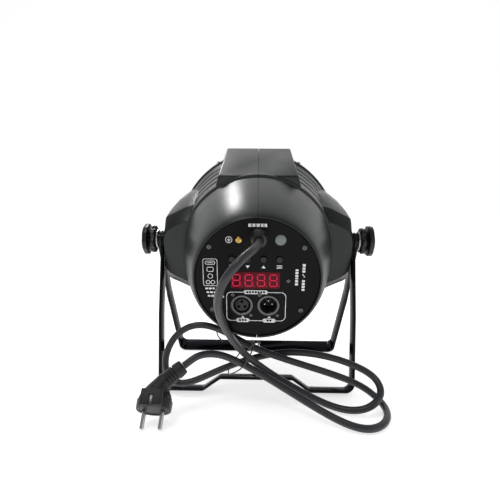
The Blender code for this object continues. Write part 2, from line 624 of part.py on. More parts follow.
def yoke(name, half_path, radii, pivot, clamp_hole_z):
    """A strip bent to a U: half_path runs from the arm's end to the middle of the base."""
    half = rounded(half_path, radii)
    path = half + [Vector((-p.x, p.y)) for p in reversed(half)]
    outline = offset(path, STRIP_T / 2) + offset(path, -STRIP_T / 2)[::-1]
    turn = Matrix.Rotation(math.radians(90.0), 4, "X")
    strip = plate(name, [tuple(p) for p in outline], STRIP_W, YOKE_BLACK, pivot, turn)
    reach = -half_path[-2][1] + 0.03
    tip = arc((0.0, 0.0), (STRIP_W / 2, STRIP_W / 2), 0.0, 180.0, 12)
    stadium = [(STRIP_W / 2, -reach)] + tip + [(-STRIP_W / 2, -reach)]
    stand = Matrix(((0, 0, 1, 0), (1, 0, 0, 0), (0, 1, 0, 0), (0, 0, 0, 1)))
    join(strip, plate(name + "_rounding", stadium, 0.4, None, pivot, stand, CUTTERS), "INTERSECT")
    join(strip, rod_cutter(name + "_stud_hole", STUD_HOLE_R, -0.2, 0.2, pivot, ALONG_X), "DIFFERENCE")
    low, high = clamp_hole_z - 0.01, clamp_hole_z + 0.01
    join(strip, rod_cutter(name + "_clamp_hole", CLAMP_HOLE_R, low, high, pivot, Matrix.Identity(4)), "DIFFERENCE")


def yokes():
    mid = STRIP_T / 2
    arm = (PIVOT_HEIGHT - STRIP_W / 2 * math.sin(FRONT_YOKE_LEAN)) / math.cos(FRONT_YOKE_LEAN)
    x = FRONT_YOKE_X - mid
    foot, step = -(arm - mid), -(arm - mid) + 14.5 * MM
    path = [(x, 0.02), (x, -TAPER_FROM), (FRONT_BASE_X - mid, foot)]
    path += [(66.0 * MM, foot), (45.0 * MM, step), (0.0, step)]
    yoke("front_yoke", path, (60.0 * MM, 10.0 * MM, 8.0 * MM, 8.0 * MM), FRONT_YOKE, step)
    arm = (PIVOT_HEIGHT - STRIP_W / 2 * math.sin(REAR_YOKE_LEAN)) / math.cos(REAR_YOKE_LEAN)
    x, base = REAR_YOKE_X - mid, -(arm - mid)
    path = [(x, 0.02), (x, -TAPER_FROM), (REAR_BASE_X - mid, base), (0.0, base)]
    yoke("rear_yoke", path, (60.0 * MM, 9.0 * MM), REAR_YOKE, base)


def lobed(x, radius, depth, lobes, phase=0.0, count=36):
    """A ring of points in the YZ plane at x with shallow lobes."""
    ring = []
    for index in range(count):
        a = 2 * math.pi * index / count
        r = radius - depth * (0.5 - 0.5 * math.cos(lobes * a + phase)) ** 2
        ring.append(Vector((x, r * math.cos(a), PIVOT_RISE + r * math.sin(a))))
    return ring


def pivot_hardware():
    """Washers, studs and clamping knobs on the pivot axis, mirrored to both sides."""
    for tag, side in (("right", 1), ("left", -1)):
        turn = on_pivot(side)
        for label, low, high, outer, finish_ in (
            ("friction_washer", 119.1, 119.7, 13.0, RUBBER),
            ("yoke_spacer", 123.3, 124.2, 11.0, BLACK_PLASTIC),
            ("clamp_washer", 127.8, 129.2, 12.0, STEEL),
        ):
            profile = [(outer, high), (outer, low), (4.3, low), (4.3, high)]
            turned(f"{label}_{tag}", [(r * MM, h * MM) for r, h in profile], finish_, HOUSING, turn, 16, closed=True)
        stud = [(0.0, 138.0), (3.3, 138.0), (3.8, 137.4), (3.8, 99.0), (3.2, 98.0), (0.0, 98.0)]
        turned(f"knob_stud_{tag}", [(r * MM, h * MM) for r, h in stud], STEEL, HOUSING, turn, 16)
        rings = [
            lobed(x * MM * side, r * MM, depth * MM, 6, side)
            for x, r, depth in (
                (129.6, 12.0, 0.0),
                (131.0, 17.2, 3.2),
                (136.0, 17.2, 3.2),
                (137.4, 11.0, 0.0),
                (138.6, 11.0, 0.0),
                (139.6, 19.6, 0.9),
                (144.6, 19.8, 0.9),
                (145.6, 18.2, 0.8),
            )
        ]
        knob = loft(f"knob_{tag}", rings, BLACK_PLASTIC, HOUSING)
        join(knob, rod_cutter(f"knob_bore_{tag}", 4.1 * MM, 0.1, 0.1385, HOUSING, turn), "DIFFERENCE")


# ---------------------------------------------------------------- mains lead


def on_floor(point):
    """A route point, given in millimetres from the floor point under the pivot, in world metres."""
    return Vector(point) * MM + Vector((0.0, PIVOT_Y, 0.0))


def spline(points, parts, cyclic=False):
    """Read a uniform cubic B-spline over the points, in equal parts of each span."""
    if cyclic:
        points = [points[-1], *points, points[0], points[1]]
    else:
        points = [points[0] * 2 - points[1], *points, points[-1] * 2 - points[-2]]
    made = []
    for a, b, c, d in zip(points, points[1:], points[2:], points[3:]):
        for part in range(parts):
            t = part / parts
            weights = ((1 - t) ** 3, 3 * t**3 - 6 * t**2 + 4, -3 * t**3 + 3 * t**2 + 3 * t + 1, t**3)
            made.append(sum((point * weight for point, weight in zip((a, b, c, d), weights)), Vector()) / 6)
    return made if cyclic else made + [points[-2]]


def tube(name, points, radius, material, cyclic=False):
    """A round tube along points, as a curve with a bevel and filled caps."""
    curve = bpy.data.curves.new(name, "CURVE")
    curve.dimensions = "3D"
    curve.bevel_depth = radius
    curve.bevel_resolution = 2
    curve.use_fill_caps = True
    line = curve.splines.new("POLY")
    line.points.add(len(points) - 1)
    for place, point in zip(line.points, points):
        place.co = (*point, 1.0)
    line.use_cyclic_u = cyclic
    made = bpy.data.objects.new(name, curve)
    PARTS.objects.link(made)
    curve.materials.append(material)


def mains_cord():
    """The free lead, from just inside the gland's mouth to just short of the plug."""
    gland_mouth = HOUSING.matrix_world @ on_panel(GLAND_UV)
    start, ahead = (gland_mouth @ Vector((0.0, 0.0, height * MM)) for height in (17.3, 31.0))
    end = on_floor(PLUG_ENTRY) + Vector(PLUG_ENTRY_DIR).normalized() * 2 * GAP
    route = [start, ahead, *(on_floor(point) for point in CORD_ROUTE), end]
    tube("mains_cord", spline(route, 2), CORD_R, CORD_GREY)


def facing(direction, origin):
    """A frame at a point whose local Z follows a direction and whose local X stays level."""
    z = Vector(direction).normalized()
    x = Vector((0.0, 0.0, 1.0)).cross(z).normalized()
    turn = Matrix((x, z.cross(x), z)).transposed().to_4x4()
    return Matrix.Translation(origin) @ turn


def ring(frame, width, height, count=20):
    """An ellipse in a frame's XY plane."""
    spans = [2 * math.pi * index / count for index in range(count)]
    return [frame @ Vector((width * MM * math.cos(a), height * MM * math.sin(a), 0.0)) for a in spans]


def plug():
    """Angled two-pin plug: round head, neck, ribbed strain relief, and its pins."""
    face, entry = on_floor(PLUG_FACE), on_floor(PLUG_ENTRY)
    back, out = -Vector(PLUG_PIN_DIR).normalized(), Vector(PLUG_ENTRY_DIR).normalized()
    rings = [ring(facing(back, face + back * depth * MM), r, r) for depth, r in ((0.0, 18.2), (0.8, 19.0), (11.0, 19.0))]
    neck_from, neck_to = face + back * 16.0 * MM, entry - out * 24.0 * MM
    for share, width in ((0.0, 16.5), (0.5, 12.5), (1.0, 9.5)):
        turn = back.lerp(out, share)
        rings.append(ring(facing(turn, neck_from.lerp(neck_to, share)), width, width))
    for depth, r in ((18.0, 8.8), (12.0, 8.2), (6.0, 8.0), (0.0, 7.6)):
        rings.append(ring(facing(out, entry - out * depth * MM), r, r))
    body = loft("plug_body", rings, RUBBER, None)
    for index, side in enumerate((-1, 1), start=1):
        frame = facing(-back, face) @ Matrix.Translation((side * PIN_PITCH / 2, 0.0, 0.0))
        join(body, rod_cutter(f"pin_socket_{index}", PIN_R + GAP, -0.007, 0.002, None, frame, 12), "DIFFERENCE")
        tip, root = 19.0 * MM, -6.5 * MM
        profile = [(0.0, tip), (PIN_R * 0.6, tip - 0.3 * MM), (PIN_R, tip - 1.6 * MM), (PIN_R, root), (0.0, root)]
        turned(f"plug_pin_{index}", profile, NICKEL, None, frame, 12)


def cord_tie():
    """Wire tie round the four strands of the folded lead."""
    frame = facing(TIE_NORMAL, on_floor(TIE_CENTRE))
    points = [frame @ Vector((across * MM, up * MM, 0.0)) for across, up in TIE_WRAP]
    tube("cord_tie", spline(points, 3, cyclic=True), 0.6 * MM, RUBBER, cyclic=True)


housing_half("housing_half_right", 1)
housing_half("housing_half_left", -1)
front_end()
heat_sink()
fan()
electronics()
control_panel()
connectors()
gland()
panel_fittings()
yokes()
pivot_hardware()
bpy.context.view_layer.update()
mains_cord()
plug()
cord_tie()
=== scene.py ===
"""Looks of the par can light: cast housing, printed control panel, lenses, yokes, knobs, mains lead and plug.

Sizes are in millimetres and turn into metres where a mesh is made. Housing pieces are made about the
beam axis with the beam along +Y, then placed by the housing's own frame.
"""

import json
import logging
import math
from dataclasses import dataclass, field
from enum import Enum
from typing import Any, Iterable, Sequence

import bmesh
import bpy
from mathutils import Matrix, Vector

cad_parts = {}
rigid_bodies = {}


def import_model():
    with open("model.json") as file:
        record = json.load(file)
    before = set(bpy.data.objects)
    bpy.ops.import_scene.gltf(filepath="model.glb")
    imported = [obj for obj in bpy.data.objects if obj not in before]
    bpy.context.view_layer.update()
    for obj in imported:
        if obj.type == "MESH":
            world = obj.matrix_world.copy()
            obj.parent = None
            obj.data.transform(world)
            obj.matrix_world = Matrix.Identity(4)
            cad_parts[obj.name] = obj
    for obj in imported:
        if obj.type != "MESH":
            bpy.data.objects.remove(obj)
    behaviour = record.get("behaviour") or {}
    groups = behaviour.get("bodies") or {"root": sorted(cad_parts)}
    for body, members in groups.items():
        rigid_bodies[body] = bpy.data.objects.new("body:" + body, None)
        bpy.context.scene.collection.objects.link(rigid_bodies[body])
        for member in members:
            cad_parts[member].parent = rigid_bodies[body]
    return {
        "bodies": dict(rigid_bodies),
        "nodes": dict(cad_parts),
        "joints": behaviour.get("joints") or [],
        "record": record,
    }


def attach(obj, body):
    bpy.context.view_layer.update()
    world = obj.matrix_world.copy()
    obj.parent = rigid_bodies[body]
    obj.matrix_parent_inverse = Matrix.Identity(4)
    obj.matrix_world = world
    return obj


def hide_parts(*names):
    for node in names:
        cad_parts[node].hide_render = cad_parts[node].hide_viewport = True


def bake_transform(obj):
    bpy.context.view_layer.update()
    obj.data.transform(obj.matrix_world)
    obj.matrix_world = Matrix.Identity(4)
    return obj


LOG = logging.getLogger("par_can_light")
MM = 0.001

Point2 = tuple[float, float]
Point3 = tuple[float, float, float]
Color = tuple[float, float, float]


class Side(Enum):
    """Which side of the light a mirrored piece is on, as the sign of its x."""

    LEFT = -1
    RIGHT = 1

    @property
    def tag(self) -> str:
        """The side's name as the CAD nodes spell it."""
        return self.name.lower()


class Cut(Enum):
    """What a Boolean does with its cutter."""

    ADD = "UNION"
    TAKE = "DIFFERENCE"
    KEEP = "INTERSECT"


# ---------------------------------------------------------------- finishes


class Num:
    """A shader value that takes part in Python arithmetic."""

    def __init__(self, recipe: "Recipe", socket: Any) -> None:
        """Wrap an output socket of a recipe's tree."""
        self.recipe = recipe
        self.socket = socket

    def _math(self, operation: str, first: Any, second: Any) -> "Num":
        """Add one Math node.

        Args:
            operation: The node's operation.
            first: Its first input, a Num or a number.
            second: Its second input, a Num or a number.

        Returns:
            The node's value.
        """
        made = self.recipe.node("ShaderNodeMath", {"operation": operation}, {0: first, 1: second})
        return Num(self.recipe, made.outputs[0])

    def __add__(self, other: Any) -> "Num":
        """Sum."""
        return self._math("ADD", self, other)

    __radd__ = __add__

    def __mul__(self, other: Any) -> "Num":
        """Product."""
        return self._math("MULTIPLY", self, other)

    __rmul__ = __mul__

    def __sub__(self, other: Any) -> "Num":
        """Difference."""
        return self._math("SUBTRACT", self, other)

    def __rsub__(self, other: Any) -> "Num":
        """Difference with this value taken away."""
        return self._math("SUBTRACT", other, self)


class Recipe:
    """One material being put together from nodes."""

    def __init__(self, name: str) -> None:
        """Start a material with its Principled shader."""
        self.material = bpy.data.materials.new(name)
        self.material.use_nodes = True
        self.tree = self.material.node_tree
        self.shader = self.tree.nodes["Principled BSDF"]
        self.place = self.node("ShaderNodeTexCoord", {}, {}).outputs["Object"]

    def node(self, kind: str, settings: dict[str, Any], inputs: dict[Any, Any]) -> Any:
        """Add a node, set its settings, then fill its sockets.

        Args:
            kind: The node's type.
            settings: Attributes set before anything is linked.
            inputs: Socket name or index to a value, a socket or a Num.

        Returns:
            The node.
        """
        made = self.tree.nodes.new(kind)
        for name, value in settings.items():
            setattr(made, name, value)
        for key, value in inputs.items():
            self.feed(made.inputs[key], value)
        return made

    def feed(self, socket: Any, value: Any) -> None:
        """Link a socket or Num to an input, or set its plain value."""
        source = value.socket if isinstance(value, Num) else value
        if isinstance(source, bpy.types.NodeSocket):
            self.tree.links.new(source, socket)
        else:
            socket.default_value = source

    def noise(self, per_metre: float, detail: float = 3.0, stretch: Point3 = (1.0, 1.0, 1.0)) -> Num:
        """Noise over the object's own space.

        Args:
            per_metre: How many features there are in a metre.
            detail: Levels of finer noise.
            stretch: Scale of the space along each axis.

        Returns:
            The noise, from 0 to 1.
        """
        space = self.node("ShaderNodeMapping", {}, {"Vector": self.place, "Scale": stretch})
        inputs = {"Vector": space.outputs["Vector"], "Scale": per_metre, "Detail": detail}
        return Num(self, self.node("ShaderNodeTexNoise", {}, inputs).outputs["Fac"])

    def blend(self, share: Num, first: Color, second: Color) -> Any:
        """Mix two colours by a value."""
        inputs = {"Factor": share, 6: (*first, 1.0), 7: (*second, 1.0)}
        return self.node("ShaderNodeMix", {"data_type": "RGBA"}, inputs).outputs[2]

    def relief(self, height: Num, depth: float) -> None:
        """Bump the surface by a height, in metres of depth."""
        inputs = {"Height": height, "Distance": depth, "Strength": 1.0}
        self.feed(self.shader.inputs["Normal"], self.node("ShaderNodeBump", {}, inputs).outputs["Normal"])


@dataclass(frozen=True)
class Finish:
    """A surface finish: colour with a little variation, roughness with smears, and a fine relief."""

    name: str
    color: Color
    roughness: float
    metallic: float = 0.0
    mottle: float = 0.15
    smear: float = 0.08
    grain: float = 900.0
    grain_depth: float = 0.00002
    transmission: float = 0.0
    stretch: Point3 = (1.0, 1.0, 1.0)
    glow: float = 0.0
    specular: float = 0.4
    edge: float = 1.0

    def build(self) -> bpy.types.Material:
        """Make the material.

        Returns:
            The node material.
        """
        recipe = Recipe(self.name)
        shader = recipe.shader
        dark = tuple(part * (1.0 - self.mottle) for part in self.color)
        light = tuple(min(1.0, part * (1.0 + self.mottle)) for part in self.color)
        recipe.feed(shader.inputs["Base Color"], recipe.blend(recipe.noise(45.0, 2.0), dark, light))
        smears = recipe.noise(30.0, 4.0, self.stretch)
        recipe.feed(shader.inputs["Roughness"], (smears - 0.5) * (2 * self.smear) + self.roughness)
        recipe.relief(recipe.noise(self.grain, 2.0, self.stretch), self.grain_depth)
        shader.inputs["Metallic"].default_value = self.metallic
        shader.inputs["Specular IOR Level"].default_value = self.specular
        shader.inputs["Specular Tint"].default_value = (self.edge, self.edge, self.edge, 1.0)
        shader.inputs["Transmission Weight"].default_value = self.transmission
        if self.glow:
            shader.inputs["Emission Color"].default_value = (*self.color, 1.0)
            shader.inputs["Emission Strength"].default_value = self.glow
        return recipe.material


class Coat(Enum):
    """Every finish on the light."""

    CAST = Finish(
        "cast_housing", (0.0055, 0.0084, 0.0084), 0.34, grain=520.0, grain_depth=0.00006,
        specular=0.42,
    )
    PANEL = Finish("panel_black", (0.0022, 0.0022, 0.0024), 0.45, grain=1600.0, specular=0.12)
    PRINT = Finish("panel_print", (0.85, 0.86, 0.86), 0.5, mottle=0.05)
    YOKE = Finish(
        "yoke_gloss", (0.02, 0.02, 0.024), 0.17, 1.0, smear=0.05, grain=260.0, grain_depth=0.00003,
        edge=0.45,
    )
    PLASTIC = Finish(
        "black_plastic", (0.006, 0.006, 0.0065), 0.36, grain=1500.0, grain_depth=0.00003, specular=0.4,
    )
    NYLON = Finish("gland_nylon", (0.012, 0.0125, 0.0135), 0.3, grain=1200.0, specular=0.4)
    RUBBER = Finish(
        "rubber", (0.01, 0.01, 0.011), 0.65, grain=1800.0, grain_depth=0.00004, specular=0.3,
    )
    MOULDED = Finish(
        "plug_moulded", (0.017, 0.0175, 0.019), 0.45, grain=1500.0, grain_depth=0.00004, specular=0.32,
    )
    ZINC = Finish("zinc_steel", (0.4, 0.41, 0.42), 0.28, 1.0, 0.1, 0.08, 700.0)
    BLACK_STEEL = Finish("black_steel", (0.11, 0.11, 0.115), 0.26, 0.9, grain=900.0, specular=0.4)
    BRASS = Finish("brass", (0.62, 0.42, 0.12), 0.25, 1.0, 0.1, 0.08, 700.0)
    ALUMINIUM = Finish(
        "aluminium", (0.7, 0.71, 0.72), 0.42, 1.0, 0.08, 0.1, 500.0, 0.00003, stretch=(1, 12, 1),
    )
    NICKEL = Finish("nickel", (0.5, 0.49, 0.47), 0.2, 1.0, 0.05, 0.06, 500.0, 0.00001)
    STICKER = Finish("silver_sticker", (0.16, 0.18, 0.17), 0.35, 0.3, 0.1, 0.08, 600.0, 0.00001)
    GLASS = Finish(
        "front_glass", (0.93, 0.96, 0.96), 0.03, 0.0, 0.01, 0.01, 40.0, 0.000001, transmission=1.0,
    )
    LENS = Finish(
        "lens_acrylic", (0.9, 0.92, 0.94), 0.06, 0.0, 0.02, 0.02, 60.0, 0.000002, transmission=0.85,
    )
    HOLDER = Finish("lens_holder", (0.008, 0.008, 0.0085), 0.3, smear=0.05, grain=1500.0)
    BOARD = Finish("circuit_board", (0.01, 0.11, 0.04), 0.45, mottle=0.2, grain=1500.0)
    WINDOW = Finish(
        "display_window", (0.05, 0.0005, 0.003), 0.2, smear=0.03, grain=200.0, specular=0.15, glow=0.6,
    )
    LIT = Finish(
        "display_segment", (0.45, 0.012, 0.045), 0.3, smear=0.03, grain=200.0, specular=0.2, glow=0.55,
    )
    CORD = Finish(
        "cord_pvc", (0.03, 0.031, 0.035), 0.36, grain=1400.0, grain_depth=0.00004, specular=0.4,
    )
    WIRE = Finish("tie_wire", (0.05, 0.05, 0.054), 0.25, grain=1200.0, grain_depth=0.00001)


class Paintbox:
    """Makes each finish's material once."""

    def __init__(self) -> None:
        """Start with no material made."""
        self._made: dict[Coat, bpy.types.Material] = {}

    def get(self, coat: Coat) -> bpy.types.Material:
        """The material of a finish."""
        if coat not in self._made:
            self._made[coat] = coat.value.build()
        return self._made[coat]


# ---------------------------------------------------------------- mesh tools


def finished(bm: bmesh.types.BMesh, name: str, angle: float = 32.0) -> bpy.types.Object:
    """Turn a bmesh into a smooth-shaded object.

    Args:
        bm: The mesh, which is freed.
        name: The object's name.
        angle: Edges sharper than this stay sharp, in degrees.

    Returns:
        The linked object.
    """
    bmesh.ops.recalc_face_normals(bm, faces=bm.faces)
    mesh = bpy.data.meshes.new(name)
    bm.to_mesh(mesh)
    bm.free()
    made = bpy.data.objects.new(name, mesh)
    bpy.context.scene.collection.objects.link(made)
    smooth(made, angle)
    return made


def smooth(made: bpy.types.Object, angle: float = 32.0) -> None:
    """Shade smooth and keep the edges over an angle sharp."""
    made.data.shade_smooth()
    made.data.set_sharp_from_angle(angle=math.radians(angle))


def settle(made: bpy.types.Object) -> None:
    """Apply the object's modifiers to its mesh."""
    graph = bpy.context.evaluated_depsgraph_get()
    made.data = bpy.data.meshes.new_from_object(made.evaluated_get(graph))
    made.modifiers.clear()


def lathe(name: str, profile: Sequence[Point2], steps: int = 96, closed: bool = False) -> bpy.types.Object:
    """Turn a profile about local Z.

    Args:
        name: The object's name.
        profile: (radius, height) in millimetres.
        steps: Sides of the turned shape.
        closed: Whether the profile joins up with itself, as for a ring.

    Returns:
        The object.
    """
    bm = bmesh.new()
    rows: list[list[bmesh.types.BMVert]] = []
    for radius, height in profile:
        count = 1 if radius < 1e-6 else steps
        spans = [2 * math.pi * index / steps for index in range(count)]
        reach, level = radius * MM, height * MM
        rows.append([bm.verts.new((reach * math.cos(a), reach * math.sin(a), level)) for a in spans])
    for first, second in zip(rows, rows[1:] + rows[:1] if closed else rows[1:]):
        for index in range(steps):
            after = (index + 1) % steps
            corners = [first[index % len(first)], first[after % len(first)]]
            corners += [second[after % len(second)], second[index % len(second)]]
            unique = list(dict.fromkeys(corners))
            if len(unique) > 2:
                bm.faces.new(unique)
    return finished(bm, name)


def loft(name: str, rings: Sequence[Sequence[Vector]], angle: float = 32.0) -> bpy.types.Object:
    """Join rings of equally many points, in metres, and close both ends.

    Args:
        name: The object's name.
        rings: The rings in order, each a list of points.
        angle: Edges sharper than this stay sharp, in degrees.

    Returns:
        The object.
    """
    bm = bmesh.new()
    rows = [[bm.verts.new(point) for point in ring] for ring in rings]
    for low, high in zip(rows, rows[1:]):
        for index, vert in enumerate(low):
            after = (index + 1) % len(low)
            bm.faces.new((vert, low[after], high[after], high[index]))
    bm.faces.new(rows[0][::-1])
    bm.faces.new(rows[-1])
    return finished(bm, name, angle)


def slab(name: str, outline: Sequence[Point2], low: float, high: float) -> bpy.types.Object:
    """Extrude a flat outline between two heights of local Z, in millimetres.

    Args:
        name: The object's name.
        outline: The corners of the outline in order.
        low: The lower height.
        high: The upper height.

    Returns:
        The object.
    """
    bm = bmesh.new()
    floor = [bm.verts.new((x * MM, y * MM, low * MM)) for x, y in outline]
    roof = [bm.verts.new((x * MM, y * MM, high * MM)) for x, y in outline]
    for index, vert in enumerate(floor):
        after = (index + 1) % len(floor)
        bm.faces.new((vert, floor[after], roof[after], roof[index]))
    bm.faces.new(floor[::-1])
    bm.faces.new(roof)
    return finished(bm, name)


def box(name: str, size: Point3, center: Point3) -> bpy.types.Object:
    """A plain box in millimetres.

    Args:
        name: The object's name.
        size: Its length along each axis.
        center: Its middle.

    Returns:
        The object.
    """
    bm = bmesh.new()
    scale = Matrix.Diagonal((size[0] * MM, size[1] * MM, size[2] * MM, 1.0))
    bmesh.ops.create_cube(bm, size=1.0, matrix=Matrix.Translation(Vector(center) * MM) @ scale)
    return finished(bm, name)


def rod(name: str, radius: float, low: float, high: float, steps: int = 48) -> bpy.types.Object:
    """A cylinder along local Z."""
    return lathe(name, [(0.0, high), (radius, high), (radius, low), (0.0, low)], steps)


def carve(target: bpy.types.Object, cutter: bpy.types.Object, how: Cut, frame: Matrix | None = None) -> None:
    """Run a Boolean and throw the cutter away.

    Args:
        target: The object that changes.
        cutter: The other solid.
        how: Add, take away or keep the common part.
        frame: Where the cutter stands, in the target's space.
    """
    if frame is not None:
        cutter.matrix_world = target.matrix_world @ frame
    change = target.modifiers.new("carve", "BOOLEAN")
    change.operation = how.value
    change.solver = "EXACT"
    change.object = cutter
    bpy.context.view_layer.update()
    settle(target)
    bpy.data.objects.remove(cutter, do_unlink=True)


def soften(made: bpy.types.Object, width: float, segments: int = 2, angle: float = 35.0) -> None:
    """Round the edges of an object by a width in millimetres.

    Args:
        made: The object, which changes.
        width: How far the rounding reaches.
        segments: Steps in the rounding.
        angle: Only edges sharper than this are rounded, in degrees.
    """
    edge = made.modifiers.new("edges", "BEVEL")
    edge.width = width * MM
    edge.segments = segments
    edge.limit_method = "ANGLE"
    edge.angle_limit = math.radians(angle)
    edge.use_clamp_overlap = True
    settle(made)
    smooth(made, 40.0)


def merge(name: str, parts: Iterable[bpy.types.Object]) -> bpy.types.Object:
    """Collect several objects' meshes into one object, in world space.

    Args:
        name: The new object's name.
        parts: The objects, which are removed.

    Returns:
        The new object.
    """
    bm = bmesh.new()
    for part in parts:
        part.data.transform(part.matrix_world)
        bm.from_mesh(part.data)
        bpy.data.objects.remove(part, do_unlink=True)
    return finished(bm, name)


def arc(center: Point2, radii: Point2, start: float, stop: float, steps: int) -> list[Point2]:
    """Points on an ellipse arc, with its angles in degrees.

    Args:
        center: The middle of the ellipse.
        radii: Its radius along each axis.
        start: The angle of the first point.
        stop: The angle of the last point.
        steps: How many pieces the arc is cut in.

    Returns:
        The points in order.
    """
    spans = [math.radians(start + (stop - start) * index / steps) for index in range(steps + 1)]
    return [(center[0] + radii[0] * math.cos(a), center[1] + radii[1] * math.sin(a)) for a in spans]


def rounded_box(center: Point2, size: Point2, radius: float, steps: int = 8) -> list[Point2]:
    """The outline of a rectangle with round corners.

    Args:
        center: Its middle.
        size: Its width and height.
        radius: The radius of its corners.
        steps: How many pieces each corner is cut in.

    Returns:
        The corners of the outline in order.
    """
    half_u, half_v = size[0] / 2 - radius, size[1] / 2 - radius
    corners = ((half_u, half_v, 0), (-half_u, half_v, 90), (-half_u, -half_v, 180), (half_u, -half_v, 270))
    made: list[Point2] = []
    for u, v, start in corners:
        made += arc((center[0] + u, center[1] + v), (radius, radius), start, start + 90, steps)
    return made


def eased(points: Sequence[Vector], parts: int, cyclic: bool = False) -> list[Vector]:
    """Read a uniform cubic B-spline over points.

    Args:
        points: The route's own points.
        parts: How many pieces each span is read in.
        cyclic: Whether the route closes on itself.

    Returns:
        The points along the curve.
    """
    if cyclic:
        route = [points[-1], *points, points[0], points[1]]
    else:
        route = [points[0] * 2 - points[1], *points, points[-1] * 2 - points[-2]]
    made = []
    for a, b, c, d in zip(route, route[1:], route[2:], route[3:]):
        for part in range(parts):
            t = part / parts
            weights = ((1 - t) ** 3, 3 * t**3 - 6 * t**2 + 4, -3 * t**3 + 3 * t**2 + 3 * t + 1, t**3)
            made.append(sum((point * weight for point, weight in zip((a, b, c, d), weights)), Vector()) / 6)
    return made if cyclic else made + [points[-1].copy()]


def facing(direction: Vector, origin: Vector) -> Matrix:
    """A frame at a point whose local Z follows a direction and whose local X stays level.

    Args:
        direction: Where local Z points.
        origin: The point, in metres.

    Returns:
        The frame.
    """
    z = direction.normalized()
    x = Vector((0.0, 0.0, 1.0)).cross(z).normalized()
    return Matrix.Translation(origin) @ Matrix((x, z.cross(x), z)).transposed().to_4x4()


def ring_points(frame: Matrix, radius: float, count: int = 48, flat: float = 0.0) -> list[Vector]:
    """A circle in a frame's XY plane, flattened on its X sides by a share.

    Args:
        frame: Where the circle stands.
        radius: Its radius in millimetres.
        count: How many points it has.
        flat: The share of the radius that the flats cut off.

    Returns:
        The points, in metres.
    """
    spans = [2 * math.pi * index / count for index in range(count)]
    sides = [max(-1.0 + flat, min(1.0 - flat, math.cos(a))) for a in spans]
    return [frame @ Vector((radius * MM * x, radius * MM * math.sin(a), 0.0)) for x, a in zip(sides, spans)]


ALONG_Y = Matrix.Rotation(math.radians(-90.0), 4, "X")
ALONG_X = Matrix.Rotation(math.radians(90.0), 4, "Y")


# ---------------------------------------------------------------- stance


@dataclass
class Stance:
    """Where the light's axes are, from the frame's joints."""

    frame: dict[str, Any]
    tilt: float = math.radians(11.0)
    front_lean: float = math.radians(11.5)
    rear_lean: float = math.radians(30.5)
    rise: float = 9.5
    panel_face: float = -111.9

    @property
    def pivot(self) -> Vector:
        """The yoke pivot, from the housing's tilt joint."""
        joint = next(joint for joint in self.frame["joints"] if joint["name"] == "housing_tilt")
        return Vector(joint["pos_m"])

    @property
    def floor(self) -> Vector:
        """The floor point under the pivot."""
        return Vector((0.0, self.pivot.y, 0.0))

    @property
    def housing(self) -> Matrix:
        """The housing's frame: local +Y is the beam, and the origin is on the beam axis under the pivot."""
        turn = Matrix.Rotation(self.tilt, 4, "X")
        return Matrix.Translation(self.pivot) @ turn @ Matrix.Translation((0.0, 0.0, -self.rise * MM))

    def yoke(self, lean: float) -> Matrix:
        """A yoke's frame, leaning about the pivot."""
        return Matrix.Translation(self.pivot) @ Matrix.Rotation(lean, 4, "X")

    def panel(self, uv: Point2, depth: float = 0.0) -> Matrix:
        """A frame on the control panel, in the housing's space, whose local Z points out of the panel."""
        outward = Matrix.Rotation(math.radians(90.0), 4, "X")
        return Matrix.Translation((uv[0] * MM, (self.panel_face - depth) * MM, uv[1] * MM)) @ outward

    def knob(self, side: Side) -> Matrix:
        """A frame on the pivot axis, in the housing's space, whose local Z points outwards."""
        turn = Matrix.Rotation(side.value * math.pi / 2, 4, "Y")
        return Matrix.Translation((0.0, 0.0, self.rise * MM)) @ turn


class Bench:
    """Places finished pieces on their bodies."""

    def __init__(self, stance: Stance) -> None:
        """Keep the stance and start the paintbox."""
        self.stance = stance
        self.paint = Paintbox()

    def put(self, made: bpy.types.Object, body: str, coat: Coat, slot: str, *nodes: str) -> bpy.types.Object:
        """Dress a piece, make it ride and let it stand for its CAD nodes.

        Args:
            made: The piece, in place.
            body: The CAD body it rides on.
            coat: Its finish.
            slot: The record's material slot. Not used.
            nodes: CAD nodes it replaces.

        Returns:
            The piece.
        """
        made.data.materials.clear()
        made.data.materials.append(self.paint.get(coat))
        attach(made, body)
        if nodes:
            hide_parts(*nodes)
        LOG.info("%s rides on %s", made.name, body)
        return made

    def on_housing(
        self,
        made: bpy.types.Object,
        coat: Coat,
        slot: str,
        *nodes: str,
        local: Matrix = Matrix(),
        body: str = "housing",
    ) -> bpy.types.Object:
        """Place a piece made in a local frame of the housing, then put it on its body.

        Args:
            made: The piece.
            coat: Its finish.
            slot: The record's material slot.
            nodes: CAD nodes it replaces.
            local: The frame it was made in, in the housing's space.
            body: The CAD body it rides on.

        Returns:
            The piece.
        """
        made.matrix_world = self.stance.housing @ local
        return self.put(made, body, coat, slot, *nodes)


# ---------------------------------------------------------------- housing


